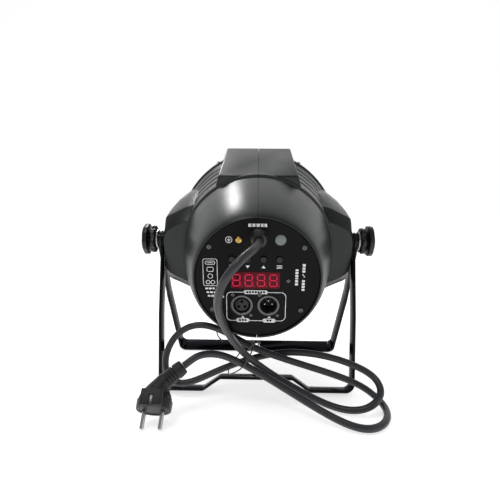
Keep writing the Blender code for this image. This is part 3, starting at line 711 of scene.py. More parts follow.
@dataclass
class Housing:
    """The two die-cast halves, each a turned shell with its spine blocks and one ear."""

    bench: Bench
    panel_r: float = 64.5
    lip_y: float = -113.5
    ledge_y: float = -108.3
    ledge_r: float = 56.0
    dome_r: float = 92.0
    dome_y: float = -21.0
    fullness: float = 0.72
    ring_y: float = -15.0
    ring_r: float = 95.0
    flange_y: float = 76.0
    flange_r: float = 111.5
    front_y: float = 88.0
    mouth_r: float = 106.5
    wall: float = 2.6
    ribs: int = 4
    rib_pitch: float = 18.0
    ear_z: float = -3.0
    seam_gap: float = 0.15
    stud_bore: float = 4.2
    steps: int = 144
    groove: tuple[Point2, ...] = (
        (17.2, 0.0), (16.7, 0.5), (16.3, 2.5), (15.9, 2.8), (14.0, 2.8), (13.6, 2.5), (12.4, 0.3),
        (11.8, 0.0), (0.0, 0.0),
    )

    def cone_r(self, y: float) -> float:
        """Ring radius along the ribbed part."""
        share = (y - self.ring_y) / (self.flange_y - self.ring_y)
        return self.ring_r + share * (self.flange_r - 2.0 - self.ring_r)

    def dome(self, wall: float, steps: int) -> list[Point2]:
        """The rear dome from its rim to the panel lip, moved in by a wall.

        Args:
            wall: How far the line is moved in.
            steps: How many pieces the line is cut in.

        Returns:
            The line as radius and distance along the beam.
        """
        lip_r = self.panel_r + 2.0
        points = []
        for step in range(steps):
            share = (1.0 - step / steps) ** 1.6
            y = self.lip_y + share * (self.dome_y - self.lip_y)
            points.append((lip_r + (self.dome_r - lip_r) * share**self.fullness - wall, y + wall * 0.3))
        return points

    def outer(self) -> list[Point2]:
        """Outline from front to rear, with every step rounded.

        Returns:
            The line as radius and distance along the beam.
        """
        points = [(self.flange_r - 0.6, self.front_y), (self.flange_r, self.front_y - 0.6)]
        points += [(self.flange_r, self.flange_y + 0.5), (self.flange_r - 0.5, self.flange_y)]
        points.append((self.cone_r(62.0), 62.0))
        for rib in reversed(range(self.ribs)):
            base = self.ring_y + 6.0 + rib * self.rib_pitch
            points += [(self.cone_r(base + step) - sink, base + step) for step, sink in self.groove]
        points += [(self.ring_r, self.ring_y + 0.6), (self.ring_r - 0.5, self.ring_y)]
        points.append((self.dome_r - 1.6, self.ring_y - 0.5))
        points += [(self.dome_r - 2.0, self.ring_y - 1.2), (self.dome_r - 2.0, self.dome_y + 1.0)]
        points += self.dome(0.0, 40)
        lip = self.panel_r
        points += [(lip + 1.9, self.lip_y + 0.1), (lip + 1.6, self.lip_y - 0.25)]
        return points + [(lip + 0.9, self.lip_y - 0.25), (lip + 0.6, self.lip_y + 0.1)]

    def cavity(self) -> list[Point2]:
        """The inside from front to rear, as a solid.

        Returns:
            The line as radius and distance along the beam.
        """
        front = [(0.0, self.front_y + 5.0), (self.mouth_r, self.front_y + 5.0), (self.mouth_r, 71.0)]
        body = [(self.cone_r(60.0) - 5.6, 60.0), (self.ring_r - 5.6, self.ring_y)]
        inside = [point for point in self.dome(self.wall, 12) if point[1] > self.ledge_y + 3.0]
        seat, end = self.panel_r + 0.6, self.lip_y - 3.0
        rear = [(self.ledge_r, self.ledge_y + 2.0), (self.ledge_r, self.ledge_y)]
        return front + body + inside + rear + [(seat, self.ledge_y), (seat, end), (0.0, end)]

    def spine(self, up: int, inset: float) -> bpy.types.Object:
        """The wedge-shaped block along the top or the bottom.

        Args:
            up: 1 for the top and -1 for the bottom.
            inset: How much smaller than the outside it is, for the hollow.

        Returns:
            The block.
        """
        rear = ((54.0 - inset, 55.0), (54.0 - inset, 72.0), (48.0 - inset, 93.5 - inset))
        front = ((49.0 - inset, 55.0), (49.0 - inset, 101.0), (43.5 - inset, 119.5 - inset))
        rings = []
        for y, half in ((-13.0 + inset, rear), (78.4 - inset, front)):
            outline = [(x, z) for x, z in half] + [(-x, z) for x, z in reversed(half)]
            rings.append([Vector((x, y, z * up)) * MM for x, z in outline])
        made = loft("spine", rings)
        if not inset:
            soften(made, 1.6, 3)
        return made

    def ear(self, side: Side) -> bpy.types.Object:
        """The boss that takes the knob's stud, swelling to its flat clamping face.

        Args:
            side: The side it is on.

        Returns:
            The boss.
        """
        stations = (
            (-14.0, ((70, 42), (91, 40), (104, 34), (113, 28), (117.6, 21), (118.8, 13))),
            (2.0, ((70, 60), (92, 54), (104, 48), (113, 44), (117.6, 41), (118.8, 36))),
            (34.0, ((70, 72), (92, 64), (104, 56), (113, 49), (117.6, 44), (118.8, 38))),
            (76.0, ((70, 74), (92, 66), (104, 57), (113, 50), (117.6, 44), (118.8, 38))),
        )
        rings = []
        for y, half in stations:
            outline = list(half) + [(x, -z) for x, z in reversed(half)]
            rings.append([Vector((x * side.value, y, z + self.ear_z)) * MM for x, z in outline])
        made = loft("ear", rings)
        soften(made, 0.8, 3, 20.0)
        return made

    def half(self, side: Side) -> None:
        """Build one half and put it on the light."""
        profile = [(0.0, self.front_y), *self.outer(), (0.0, self.lip_y)]
        made = lathe("cast_half_" + side.tag, profile, self.steps)
        made.data.transform(ALONG_Y)
        for up in (1, -1):
            carve(made, self.spine(up, 0.0), Cut.ADD)
        carve(made, self.ear(side), Cut.ADD)
        for up in (1, -1):
            carve(made, self.spine(up, 3.0), Cut.TAKE)
        carve(made, rod("stud_bore", self.stud_bore, 90.0, 130.0), Cut.TAKE, self.bench.stance.knob(side))
        center = (side.value * (150.0 + self.seam_gap), 0.0, 0.0)
        carve(made, box("keep", (300.0, 400.0, 400.0), center), Cut.KEEP)
        carve(made, lathe("cavity", self.cavity(), self.steps), Cut.TAKE, ALONG_Y)
        smooth(made, 28.0)
        self.bench.on_housing(made, Coat.CAST, "cast_housing", "housing_half_" + side.tag)

    def build(self) -> None:
        """Build both halves."""
        for side in Side:
            self.half(side)


@dataclass
class FrontEnd:
    """Bezel, glass, and the lenses in their holder."""

    bench: Bench
    rim_r: float = 113.6
    mouth_r: float = 100.0
    rim_y: float = 104.0
    glass_r: float = 105.5
    lens_r: float = 5.6
    rings: tuple[tuple[int, float], ...] = ((4, 15.0), (10, 39.0), (17, 63.0), (23, 87.0))

    def bezel(self) -> None:
        """The ring that holds the glass."""
        outline = [(self.mouth_r + 2.0, self.rim_y - 0.3), (self.mouth_r + 2.6, self.rim_y)]
        outline += arc((self.rim_r - 3.0, self.rim_y - 3.0), (3.0, 3.0), 90, 0, 8)
        outline += [(self.rim_r, 79.4), (self.rim_r - 0.4, 79.0), (111.8, 79.0), (111.8, 88.3), (106.0, 88.3)]
        outline += [(106.0, 90.2), (self.mouth_r, 90.2), (self.mouth_r + 0.2, 91.0)]
        made = lathe("bezel_ring", outline, 144, closed=True)
        self.bench.on_housing(made, Coat.CAST, "cast_housing", "front_bezel", local=ALONG_Y)

    def glass(self) -> None:
        """The flat front glass with its ground edge."""
        rim = self.glass_r
        profile = [(0.0, 89.8), (rim - 0.6, 89.8), (rim, 89.2), (rim, 87.4), (rim - 0.6, 86.8), (0.0, 86.8)]
        made = lathe("clear_front_glass", profile, 96)
        self.bench.on_housing(made, Coat.GLASS, "front_glass", "front_glass", local=ALONG_Y)

    def spots(self) -> list[Point2]:
        """Where the lenses stand on the plate.

        Returns:
            One spot for each lens.
        """
        made = []
        for count, radius in self.rings:
            spans = [2 * math.pi * index / count for index in range(count)]
            made += [(radius * math.cos(a), radius * math.sin(a)) for a in spans]
        return made

    def lenses(self) -> None:
        """The holder plate with a rim at each place, and the lenses over their emitters."""
        holder = [lathe("plate", [(0.0, 79.0), (105.2, 79.0), (105.6, 78.6), (105.6, 76.0), (0.0, 76.0)], 96)]
        domes, chips = [], []
        r = self.lens_r
        cup = [(r + 1.7, 78.8), (r + 1.5, 82.6), (r + 1.1, 83.0), (r + 0.5, 83.0), (r + 0.3, 82.6)]
        cup.append((r + 0.3, 78.8))
        dome = [*reversed(arc((0.0, 80.4), (r, 3.6), 0, 90, 6)), (r, 79.4), (0.0, 79.4)]
        for index, spot in enumerate(self.spots()):
            shift = Matrix.Translation((spot[0] * MM, spot[1] * MM, 0.0))
            for parts, made in (
                (holder, lathe(f"cup_{index}", cup, 24, closed=True)),
                (domes, lathe(f"dome_{index}", dome, 24)),
                (chips, box(f"chip_{index}", (2.6, 2.6, 0.24), (0.0, 0.0, 79.16))),
            ):
                made.matrix_world = shift
                bpy.context.view_layer.update()
                parts.append(made)
        made = merge("lens_holder", holder)
        self.bench.on_housing(made, Coat.HOLDER, "lens_plate", "lens_plate", local=ALONG_Y)
        self.bench.on_housing(merge("lens_domes", domes), Coat.LENS, "lens_plate", local=ALONG_Y)
        self.bench.on_housing(merge("led_chips", chips), Coat.BRASS, "lens_plate", local=ALONG_Y)

    def build(self) -> None:
        """Build the whole front."""
        self.bezel()
        self.glass()
        self.lenses()


# ---------------------------------------------------------------- control panel


class Stencil:
    """White printing: flat shapes a hair above a surface, gathered into one mesh."""

    def __init__(self) -> None:
        """Start an empty print."""
        self.mesh = bmesh.new()

    def fill(self, outline: Sequence[Point2]) -> None:
        """One filled shape."""
        self.mesh.faces.new([self.mesh.verts.new((u * MM, v * MM, 0.0)) for u, v in outline])

    def line(self, points: Sequence[Point2], width: float, closed: bool = False) -> None:
        """A line of constant width through points, with mitred corners.

        Args:
            points: The points in order.
            width: The width of the line.
            closed: Whether the line joins up with its start.
        """
        path = [Vector(point) for point in points]
        count = len(path)
        sides: list[tuple[Vector, Vector]] = []
        for index, point in enumerate(path):
            before = path[index - 1] if closed or index else point
            after = path[(index + 1) % count] if closed or index + 1 < count else point
            along = (after - before).normalized()
            across = Vector((-along.y, along.x)) * width / 2
            sides.append((point + across, point - across))
        for first, second in zip(sides, sides[1:] + sides[:1] if closed else sides[1:]):
            self.fill([tuple(first[0]), tuple(first[1]), tuple(second[1]), tuple(second[0])])

    def ring(self, center: Point2, radius: float, width: float) -> None:
        """A circle."""
        self.line(arc(center, (radius, radius), 0, 360, 32)[:-1], width, closed=True)

    def dashes(self, start: Point2, step: Point2, widths: Sequence[float], height: float) -> None:
        """A row of short blocks in place of lettering.

        Args:
            start: The middle of the row's beginning.
            step: The row's direction, of length 1.
            widths: Each block's length, with a gap of 0.8 mm after it.
            height: The blocks' height across the row.
        """
        run, across = 0.0, Vector((-step[1], step[0])) * height / 2
        for width in widths:
            first = Vector(start) + Vector(step) * run
            last = first + Vector(step) * width
            corners = (first + across, first - across, last - across, last + across)
            self.fill([tuple(corner) for corner in corners])
            run += width + 0.8

    def object(self, name: str) -> bpy.types.Object:
        """The print as an object with a hair's thickness.

        Args:
            name: The object's name.

        Returns:
            The object.
        """
        made = finished(self.mesh, name)
        body = made.modifiers.new("thickness", "SOLIDIFY")
        body.thickness = 0.04 * MM
        body.offset = 1.0
        settle(made)
        return made


@dataclass
class ControlPanel:
    """The round rear panel, its printing, display, buttons, connectors, gland and screws."""

    bench: Bench
    radius: float = 64.5
    thickness: float = 2.0
    gland: Point2 = (1.0, 46.0)
    ground: Point2 = (-19.0, 42.5)
    display: Point2 = (-1.9, -1.0)
    display_size: Point2 = (51.0, 18.6)
    buttons: tuple[float, ...] = (-26.0, -10.0, 6.2, 22.4)
    button_v: float = 22.2
    outlet: Point2 = (-16.0, -29.0)
    inlet: Point2 = (12.0, -29.0)
    flange_screws: tuple[Point2, ...] = ((-9.5, 11.5), (9.5, -11.5))
    rim_screws: tuple[Point2, ...] = ((-49.0, 35.0), (47.0, 35.0), (-47.0, -34.0), (46.0, -34.0))
    board_screws: tuple[Point2, ...] = ((32.0, -1.0), (-35.0, -1.0))
    sticker: Point2 = (23.0, 42.5)
    pills: tuple[tuple[float, float, Point2, int], ...] = (
        (-1.5, -14.3, (25.0, 4.3), 7), (-15.0, -46.8, (14.0, 4.6), 3), (13.0, -47.0, (14.0, 4.6), 2),
    )
    contact_reach: float = 3.9
    print_lift: float = 0.05
    knock_lift: float = 0.11

    def on_panel(
        self, made: bpy.types.Object, coat: Coat, slot: str, uv: Point2, *nodes: str, **more: Any
    ) -> None:
        """Place a piece made about a spot of the panel.

        Args:
            made: The piece.
            coat: Its finish.
            slot: The record's material slot.
            uv: The spot.
            nodes: CAD nodes it replaces.
            more: The body, where it is not the housing.
        """
        self.bench.on_housing(made, coat, slot, *nodes, local=self.bench.stance.panel(uv), **more)

    def disc(self) -> None:
        """The panel with its openings."""
        rim = self.radius
        profile = [(0.0, 0.0), (rim - 0.4, 0.0), (rim, -0.4), (rim, -self.thickness), (0.0, -self.thickness)]
        made = lathe("panel_disc", profile, 128)
        size = (self.display_size[0] + 0.6, self.display_size[1] + 0.6, 9.0)
        carve(made, box("window", size, (*self.display, 0.0)), Cut.TAKE)
        holes = [((u, self.button_v), 3.6) for u in self.buttons]
        holes += [(self.gland, 6.4), (self.ground, 2.3), (self.outlet, 10.2), (self.inlet, 10.2)]
        for uv, radius in holes:
            spot = Matrix.Translation((uv[0] * MM, uv[1] * MM, 0.0))
            carve(made, rod("hole", radius, -9.0, 9.0), Cut.TAKE, spot)
        smooth(made)
        self.on_panel(made, Coat.PANEL, "panel_black", (0.0, 0.0), "control_panel")

    def printing(self) -> None:
        """All printed marks: frames, pills, arrows, and plain blocks and icons where lettering was."""
        ink = Stencil()
        ink.dashes((-9.5, 57.6), (1, 0), (3.2, 3.2, 3.6, 2.6, 2.8), 3.4)
        self._earth_mark(ink)
        self._button_marks(ink)
        frame = rounded_box((-1.0, -30.9), (62.0, 32.8), 5.0)
        ink.line(frame, 0.7, closed=True)
        for u, v, size, _ in self.pills:
            ink.fill(rounded_box((u, v), size, size[1] / 2 - 0.1))
        for u in (-15.0, 13.0):
            ink.fill([(u - 2.0, -44.0), (u + 2.0, -44.0), (u, -41.6)])
        self._rating_marks(ink)
        self._icon_box(ink)
        made = ink.object("panel_printing")
        face = self.bench.stance.panel((0.0, 0.0), self.print_lift)
        self.bench.on_housing(made, Coat.PRINT, "panel_black", local=face)
        knock = Stencil()
        for u, v, _, count in self.pills:
            widths = (2.1,) * count
            knock.dashes((u - (2.9 * count - 0.8) / 2, v), (1, 0), widths, 2.3)
        made = knock.object("pill_marks")
        face = self.bench.stance.panel((0.0, 0.0), self.knock_lift)
        self.bench.on_housing(made, Coat.PANEL, "panel_black", local=face)

    def _earth_mark(self, ink: Stencil) -> None:
        """The earth symbol in its circle, beside the earth screw."""
        u, v = self.ground[0] - 10.0, self.ground[1]
        ink.ring((u, v), 3.2, 0.6)
        ink.line([(u, v + 2.3), (u, v)], 0.5)
        for drop, half in ((0.0, 1.8), (0.85, 1.2), (1.7, 0.6)):
            ink.line([(u - half, v - drop), (u + half, v - drop)], 0.5)

    def _button_marks(self, ink: Stencil) -> None:
        """A plain icon under each button."""
        v = self.button_v - 8.2
        enter, down, up, menu = self.buttons
        ink.line(rounded_box((enter, v), (4.6, 3.0), 0.6, 3), 0.6, closed=True)
        ink.fill([(down - 2.2, v + 1.4), (down + 2.2, v + 1.4), (down, v - 1.8)])
        ink.fill([(up - 2.2, v - 1.6), (up + 2.2, v - 1.6), (up, v + 1.6)])
        for rise in (-1.4, 0.0, 1.4):
            ink.line([(menu - 2.8, v + rise), (menu + 2.8, v + rise)], 0.7)

    def _rating_marks(self, ink: Stencil) -> None:
        """A wave between blocks, and a row of blocks beside it, running up the panel's right side."""
        ink.dashes((47.5, -12.0), (0, 1), (2.2, 2.6, 2.6, 2.2), 3.0)
        wave = [(47.5 + 1.1 * math.sin(math.radians(step * 24)), 2.9 + step * 0.26) for step in range(16)]
        ink.line(wave, 0.6)
        ink.dashes((47.5, 8.3), (0, 1), (2.4, 2.4, 2.8), 3.0)
        ink.dashes((40.5, -6.0), (0, 1), (2.6, 2.6, 1.4, 2.6, 2.6, 2.0), 3.0)

    def _icon_box(self, ink: Stencil) -> None:
        """The tall box of plain icons on the left, with short rows of blocks below it."""
        ink.line(rounded_box((-48.5, 7.2), (14.6, 29.4), 2.2), 0.6, closed=True)
        ink.line(rounded_box((-48.5, 17.8), (9.6, 3.6), 1.6, 4), 0.6, closed=True)
        ink.line([(-51.5, 17.8), (-45.5, 17.8)], 0.6)
        ink.line(rounded_box((-48.5, 10.6), (6.4, 4.6), 1.0, 4), 0.6, closed=True)
        ink.ring((-48.5, 3.2), 2.4, 0.6)
        ink.ring((-51.0, -3.6), 2.0, 0.7)
        ink.ring((-46.0, -3.6), 2.0, 0.7)
        for index, v in enumerate((-10.6, -14.9, -19.0)):
            ink.dashes((-54.0 + index * 1.2, v), (1, 0), (2.6, 3.4, 2.2), 1.9)
        for v in (-11.0, -15.4, -19.8):
            ink.dashes((-37.0, v), (1, 0), (2.2,), 2.2)

    def label(self) -> None:
        """The round silver sticker."""
        made = lathe("silver_label", [(0.0, 0.14), (5.3, 0.14), (5.5, 0.02), (0.0, 0.02)], 64)
        self.on_panel(made, Coat.STICKER, "panel_black", self.sticker)

    def segments(self) -> None:
        """The display's window and its four lit digits."""
        width, height = self.display_size
        made = slab("display_glass", rounded_box(self.display, (width, height), 0.6, 4), -6.6, 0.35)
        soften(made, 0.25, 2)
        self.on_panel(made, Coat.WINDOW, "display_red", (0.0, 0.0), "display")
        ink = Stencil()
        for digit in range(4):
            u = self.display[0] - width / 2 + width * (digit + 0.5) / 4 - 0.6
            self._eight(ink, (u, self.display[1]), 7.4, 12.6)
            ink.fill(arc((u + 5.3, self.display[1] - 6.2), (0.6, 0.6), 0, 360, 12)[:-1])
        made = ink.object("display_digits")
        face = self.bench.stance.panel((0.0, 0.0), 0.4)
        self.bench.on_housing(made, Coat.LIT, "display_red", local=face)

    def _eight(self, ink: Stencil, center: Point2, width: float, height: float) -> None:
        """Seven bars of one digit, each with pointed ends.

        Args:
            ink: The print that takes them.
            center: The digit's middle.
            width: Its width.
            height: Its height.
        """
        u, v = center
        half, rise, bar, gap = width / 2, height / 2, 1.25, 0.35
        for dv in (rise, 0.0, -rise):
            a, b, t, y = u - half + gap, u + half - gap, bar / 2, v + dv
            ink.fill([(a, y), (a + t, y + t), (b - t, y + t), (b, y), (b - t, y - t), (a + t, y - t)])
        for du in (-half, half):
            for low in (-rise, 0.0):
                a, b, t = v + low + gap, v + low + rise - gap, bar / 2
                x = u + du
                ink.fill([(x, a), (x + t, a + t), (x + t, b - t), (x, b), (x - t, b - t), (x - t, a + t)])

    def keys(self) -> None:
        """Four round push buttons with dished crowns."""
        for index, u in enumerate(self.buttons, start=1):
            crown = [(0.0, 1.95), (1.6, 2.05), (2.4, 2.2), (2.9, 2.05), (3.2, 1.5), (3.2, -3.5)]
            stem = [(3.9, -3.5), (3.9, -4.6), (1.7, -4.6), (1.7, -12.0), (0.0, -12.0)]
            made = lathe(f"key_{index}", crown + stem, 40)
            node = f"button_{index}"
            self.on_panel(made, Coat.PLASTIC, "black_plastic", (u, self.button_v), node, body=node)

    def screw(self, node: str, uv: Point2, coat: Coat, slot: str, head: float, length: float) -> None:
        """A pan-head screw with a cross recess.

        Args:
            node: The CAD node it replaces.
            uv: Where it stands on the panel.
            coat: Its finish.
            slot: The record's material slot.
            head: The radius of its head.
            length: How far it reaches behind the panel.
        """
        top = 0.3 + head * 0.55
        crown = arc((head * 0.5, 0.3), (head * 0.5, head * 0.55), 90, 0, 6)
        made = lathe("cross_" + node, [(0.0, top), *crown, (1.3, 0.3), (1.3, -length), (0.0, -length)], 32)
        for turn in (35.0, 125.0):
            frame = Matrix.Translation((0.0, 0.0, top * MM)) @ Matrix.Rotation(math.radians(turn), 4, "Z")
            carve(made, box("slot", (head * 1.15, head * 0.2, head * 0.66), (0.0, 0.0, 0.0)), Cut.TAKE, frame)
        smooth(made)
        self.on_panel(made, coat, slot, uv, node)

    def screws(self) -> None:
        """Every screw on the panel."""
        for index, uv in enumerate(self.rim_screws, start=1):
            self.screw(f"panel_screw_{index}", uv, Coat.BLACK_STEEL, "black_steel", 2.9, 7.0)
        for index, uv in enumerate(self.board_screws, start=1):
            self.screw(f"board_screw_{index}", uv, Coat.BLACK_STEEL, "zinc_steel", 2.4, 12.0)
        self.screw("ground_screw", self.ground, Coat.BRASS, "brass", 3.6, 9.0)
        for label, center in (("out", self.outlet), ("in", self.inlet)):
            for index, (du, dv) in enumerate(self.flange_screws, start=1):
                uv = (center[0] + du, center[1] + dv)
                self.screw(f"xlr_{label}_screw_{index}", uv, Coat.BLACK_STEEL, "black_steel", 2.1, 6.0)

    def connectors(self) -> None:
        """Both three-pin connectors: flanged shells, the socket's face and the inlet's pins."""
        reach = Matrix.Translation((self.contact_reach * MM, 0.0, 0.0))
        for label, uv in (("out", self.outlet), ("in", self.inlet)):
            lip = [(9.3, 1.3), (9.6, 1.45), (11.0, 1.45), (11.5, 1.2), (11.7, 0.8), (11.7, 0.3)]
            barrel = [(9.9, 0.3), (9.9, -19.0), (8.9, -19.0), (8.9, 0.6), (9.0, 1.0)]
            made = lathe(f"connector_{label}_ring", lip + barrel, 64, closed=True)
            self.on_panel(made, Coat.BLACK_STEEL, "black_steel", uv, f"xlr_{label}_shell")
        face = [(0.0, 0.2), (6.8, 0.2), (7.2, 0.0), (7.3, -0.4)]
        foot = [(7.3, -16.0), (8.6, -16.0), (8.6, -18.8), (0.0, -18.8)]
        made = lathe("socket_face", face + foot, 64)
        for angle in (90.0, 210.0, 330.0):
            spot = Matrix.Rotation(math.radians(angle), 4, "Z") @ reach
            funnel = [(0.0, 0.6), (1.75, 0.6), (1.3, -0.5), (1.3, -14.0), (0.0, -14.0)]
            carve(made, lathe("contact", funnel, 24), Cut.TAKE, spot)
        smooth(made)
        self.on_panel(made, Coat.PLASTIC, "black_plastic", self.outlet, "xlr_out_insert")
        well = [(0.0, -14.0), (8.2, -14.0), (8.6, -14.4), (8.6, -18.8), (0.0, -18.8)]
        made = lathe("inlet_floor", well, 64)
        self.on_panel(made, Coat.PLASTIC, "black_plastic", self.inlet, "xlr_in_insert")
        pins = []
        for angle in (90.0, 180.0, 0.0):
            tip = [(0.0, -2.0), (0.6, -2.05), (1.0, -2.4), (1.2, -3.2), (1.2, -14.1), (0.0, -14.1)]
            pin = lathe("contact_pin", tip, 24)
            pin.matrix_world = Matrix.Rotation(math.radians(angle), 4, "Z") @ reach
            bpy.context.view_layer.update()
            pins.append(pin)
        self.on_panel(merge("inlet_pins", pins), Coat.ZINC, "black_plastic", self.inlet)

    def cable_gland(self) -> None:
        """The gland's flanged body, ribbed cap nut and inner seal."""
        flange = [(8.5, 2.6), (8.8, 2.3), (8.8, 0.3), (6.1, 0.3)]
        sleeve = [(6.1, -9.0), (4.4, -9.0), (4.4, 9.5), (5.9, 9.5), (5.9, 2.6)]
        made = lathe("gland_seat", flange + sleeve, 64, closed=True)
        self.on_panel(made, Coat.NYLON, "black_plastic", self.gland, "gland_body")
        cap = [(4.9, 17.0), (5.6, 16.8), (7.4, 15.4), (8.3, 12.6), (8.6, 11.6), (8.6, 3.2), (8.3, 2.9)]
        made = lathe("gland_cap", cap + [(6.2, 2.9), (6.2, 9.8), (4.4, 10.0), (4.4, 16.6)], 96, closed=True)
        for vert in made.data.vertices:
            x, y, z = vert.co
            reach = math.hypot(x, y)
            if reach > 8.0 * MM and z < 13.0 * MM:
                wave = 1.0 - 0.035 * max(0.0, math.sin(12 * math.atan2(y, x))) ** 2
                vert.co = (x * wave, y * wave, z)
        smooth(made)
        self.on_panel(made, Coat.NYLON, "black_plastic", self.gland, "gland_nut")

    def build(self) -> None:
        """Build the panel and everything on it."""
        self.disc()
        self.printing()
        self.label()
        self.segments()
        self.keys()
        self.screws()
        self.connectors()
        self.cable_gland()


# ---------------------------------------------------------------- yokes and knobs


@dataclass
class Yoke:
    """A flat steel strip bent to a U, with round arm ends and its holes."""

    bench: Bench
    node: str
    lean: float
    arm_x: float
    base_x: float
    base_radius: float
    stepped: bool
    width: float = 20.0
    thick: float = 3.0
    taper_from: float = 95.0
    stud_hole: float = 4.2
    clamp_hole: float = 5.2

    def path(self) -> tuple[list[Point2], list[float], float]:
        """The strip's middle line from an arm's end to the base's middle.

        Returns:
            The corners, the radius at each inner corner, and the height of the clamp hole.
        """
        height, mid = self.bench.stance.pivot.z / MM, self.thick / 2
        base = -((height - self.width / 2 * math.sin(abs(self.lean))) / math.cos(self.lean) - mid)
        points = [(self.arm_x - mid, 20.0), (self.arm_x - mid, -self.taper_from), (self.base_x - mid, base)]
        if not self.stepped:
            return points + [(0.0, base)], [60.0, self.base_radius], base
        raised = base + 14.5
        points += [(66.0, base), (45.0, raised), (0.0, raised)]
        return points, [60.0, self.base_radius, 8.0, 8.0], raised

    def rounded(self) -> tuple[list[Vector], float]:
        """The middle line with its corners rounded.

        Returns:
            The line's points, and the height of the clamp hole.
        """
        corners, radii, hole = self.path()
        line = [Vector(corners[0])]
        for before, corner, after, r in zip(corners, corners[1:], corners[2:], radii):
            a = (Vector(before) - Vector(corner)).normalized()
            b = (Vector(after) - Vector(corner)).normalized()
            half = a.angle(b) / 2
            center = Vector(corner) + (a + b).normalized() * (r / math.sin(half))
            first, last = Vector(corner) + a * (r / math.tan(half)), Vector(corner) + b * (r / math.tan(half))
            for step in range(11):
                spot = first.lerp(last, step / 10) - center
                line.append(center + spot.normalized() * r)
        line.append(Vector(corners[-1]))
        return line, hole

    def outline(self, line: Sequence[Vector]) -> list[Point2]:
        """Both faces of the strip about its middle line, mirrored to the other arm.

        Args:
            line: The middle line of one half.

        Returns:
            The closed outline.
        """
        whole = list(line) + [Vector((-point.x, point.y)) for point in reversed(line)]
        edges: tuple[list[Point2], list[Point2]] = ([], [])
        for index, point in enumerate(whole):
            ahead = whole[min(index + 1, len(whole) - 1)] - whole[max(index - 1, 0)]
            across = Vector((-ahead.y, ahead.x)).normalized() * self.thick / 2
            edges[0].append(tuple(point + across))
            edges[1].append(tuple(point - across))
        return edges[0] + edges[1][::-1]

    def build(self) -> None:
        """Build the yoke and put it in place."""
        line, hole = self.rounded()
        made = slab("strip_" + self.node, self.outline(line), -self.width / 2, self.width / 2)
        made.data.transform(Matrix.Rotation(math.radians(90.0), 4, "X"))
        half, reach = self.width / 2, 240.0
        stadium = [(half, -reach), *arc((0.0, 0.0), (half, half), 0.0, 180.0, 24), (-half, -reach)]
        stand = Matrix(((0, 0, 1, 0), (1, 0, 0, 0), (0, 1, 0, 0), (0, 0, 0, 1)))
        carve(made, slab("rounding", stadium, -200.0, 200.0), Cut.KEEP, stand)
        carve(made, rod("stud_hole", self.stud_hole, -200.0, 200.0), Cut.TAKE, ALONG_X)
        carve(made, rod("clamp_hole", self.clamp_hole, hole - 10.0, hole + 10.0), Cut.TAKE)
        soften(made, 0.5, 3)
        made.matrix_world = self.bench.stance.yoke(self.lean)
        self.bench.put(made, self.node, Coat.YOKE, "yoke_gloss", self.node)


@dataclass
class Knob:
    """A clamping knob: six-lobed hub, thin neck and a shallow outer cap, bored for its stud."""

    bench: Bench
    side: Side
    count: int = 144

    def ring(self, x: float, radius: float, depth: float) -> list[Vector]:
        """A ring of points with six shallow lobes.

        Args:
            x: Its distance from the light's middle.
            radius: Its greatest radius.
            depth: How deep the lobes are cut.

        Returns:
            The points, in metres.
        """
        made = []
        for index in range(self.count):
            a = 2 * math.pi * index / self.count
            r = radius - depth * (0.5 - 0.5 * math.cos(6 * a + self.side.value)) ** 2
            y, z = r * math.cos(a), self.bench.stance.rise + r * math.sin(a)
            made.append(Vector((x * self.side.value, y, z)) * MM)
        return made

    def build(self) -> None:
        """Build the knob."""
        stations = (
            (129.6, 11.8, 0.0), (130.0, 14.6, 1.4), (130.6, 16.3, 2.6), (131.4, 17.2, 3.2),
            (135.4, 17.2, 3.2), (136.2, 16.2, 2.6), (136.8, 14.0, 1.6), (137.3, 11.3, 0.0),
            (138.6, 11.0, 0.0), (138.9, 14.0, 0.2), (139.2, 18.4, 0.7), (139.8, 19.6, 0.9),
            (144.0, 19.8, 0.9), (144.9, 19.4, 0.9), (145.4, 18.4, 0.8), (145.6, 17.0, 0.6),
            (145.2, 15.4, 0.3),
        )
        made = loft("knob_grip_" + self.side.tag, [self.ring(*station) for station in stations], 40.0)
        carve(made, rod("bore", 4.1, 100.0, 138.5), Cut.TAKE, self.bench.stance.knob(self.side))
        smooth(made, 40.0)
        body = "knob_" + self.side.tag
        self.bench.on_housing(made, Coat.PLASTIC, "black_plastic", body, body=body)


# ---------------------------------------------------------------- mains lead


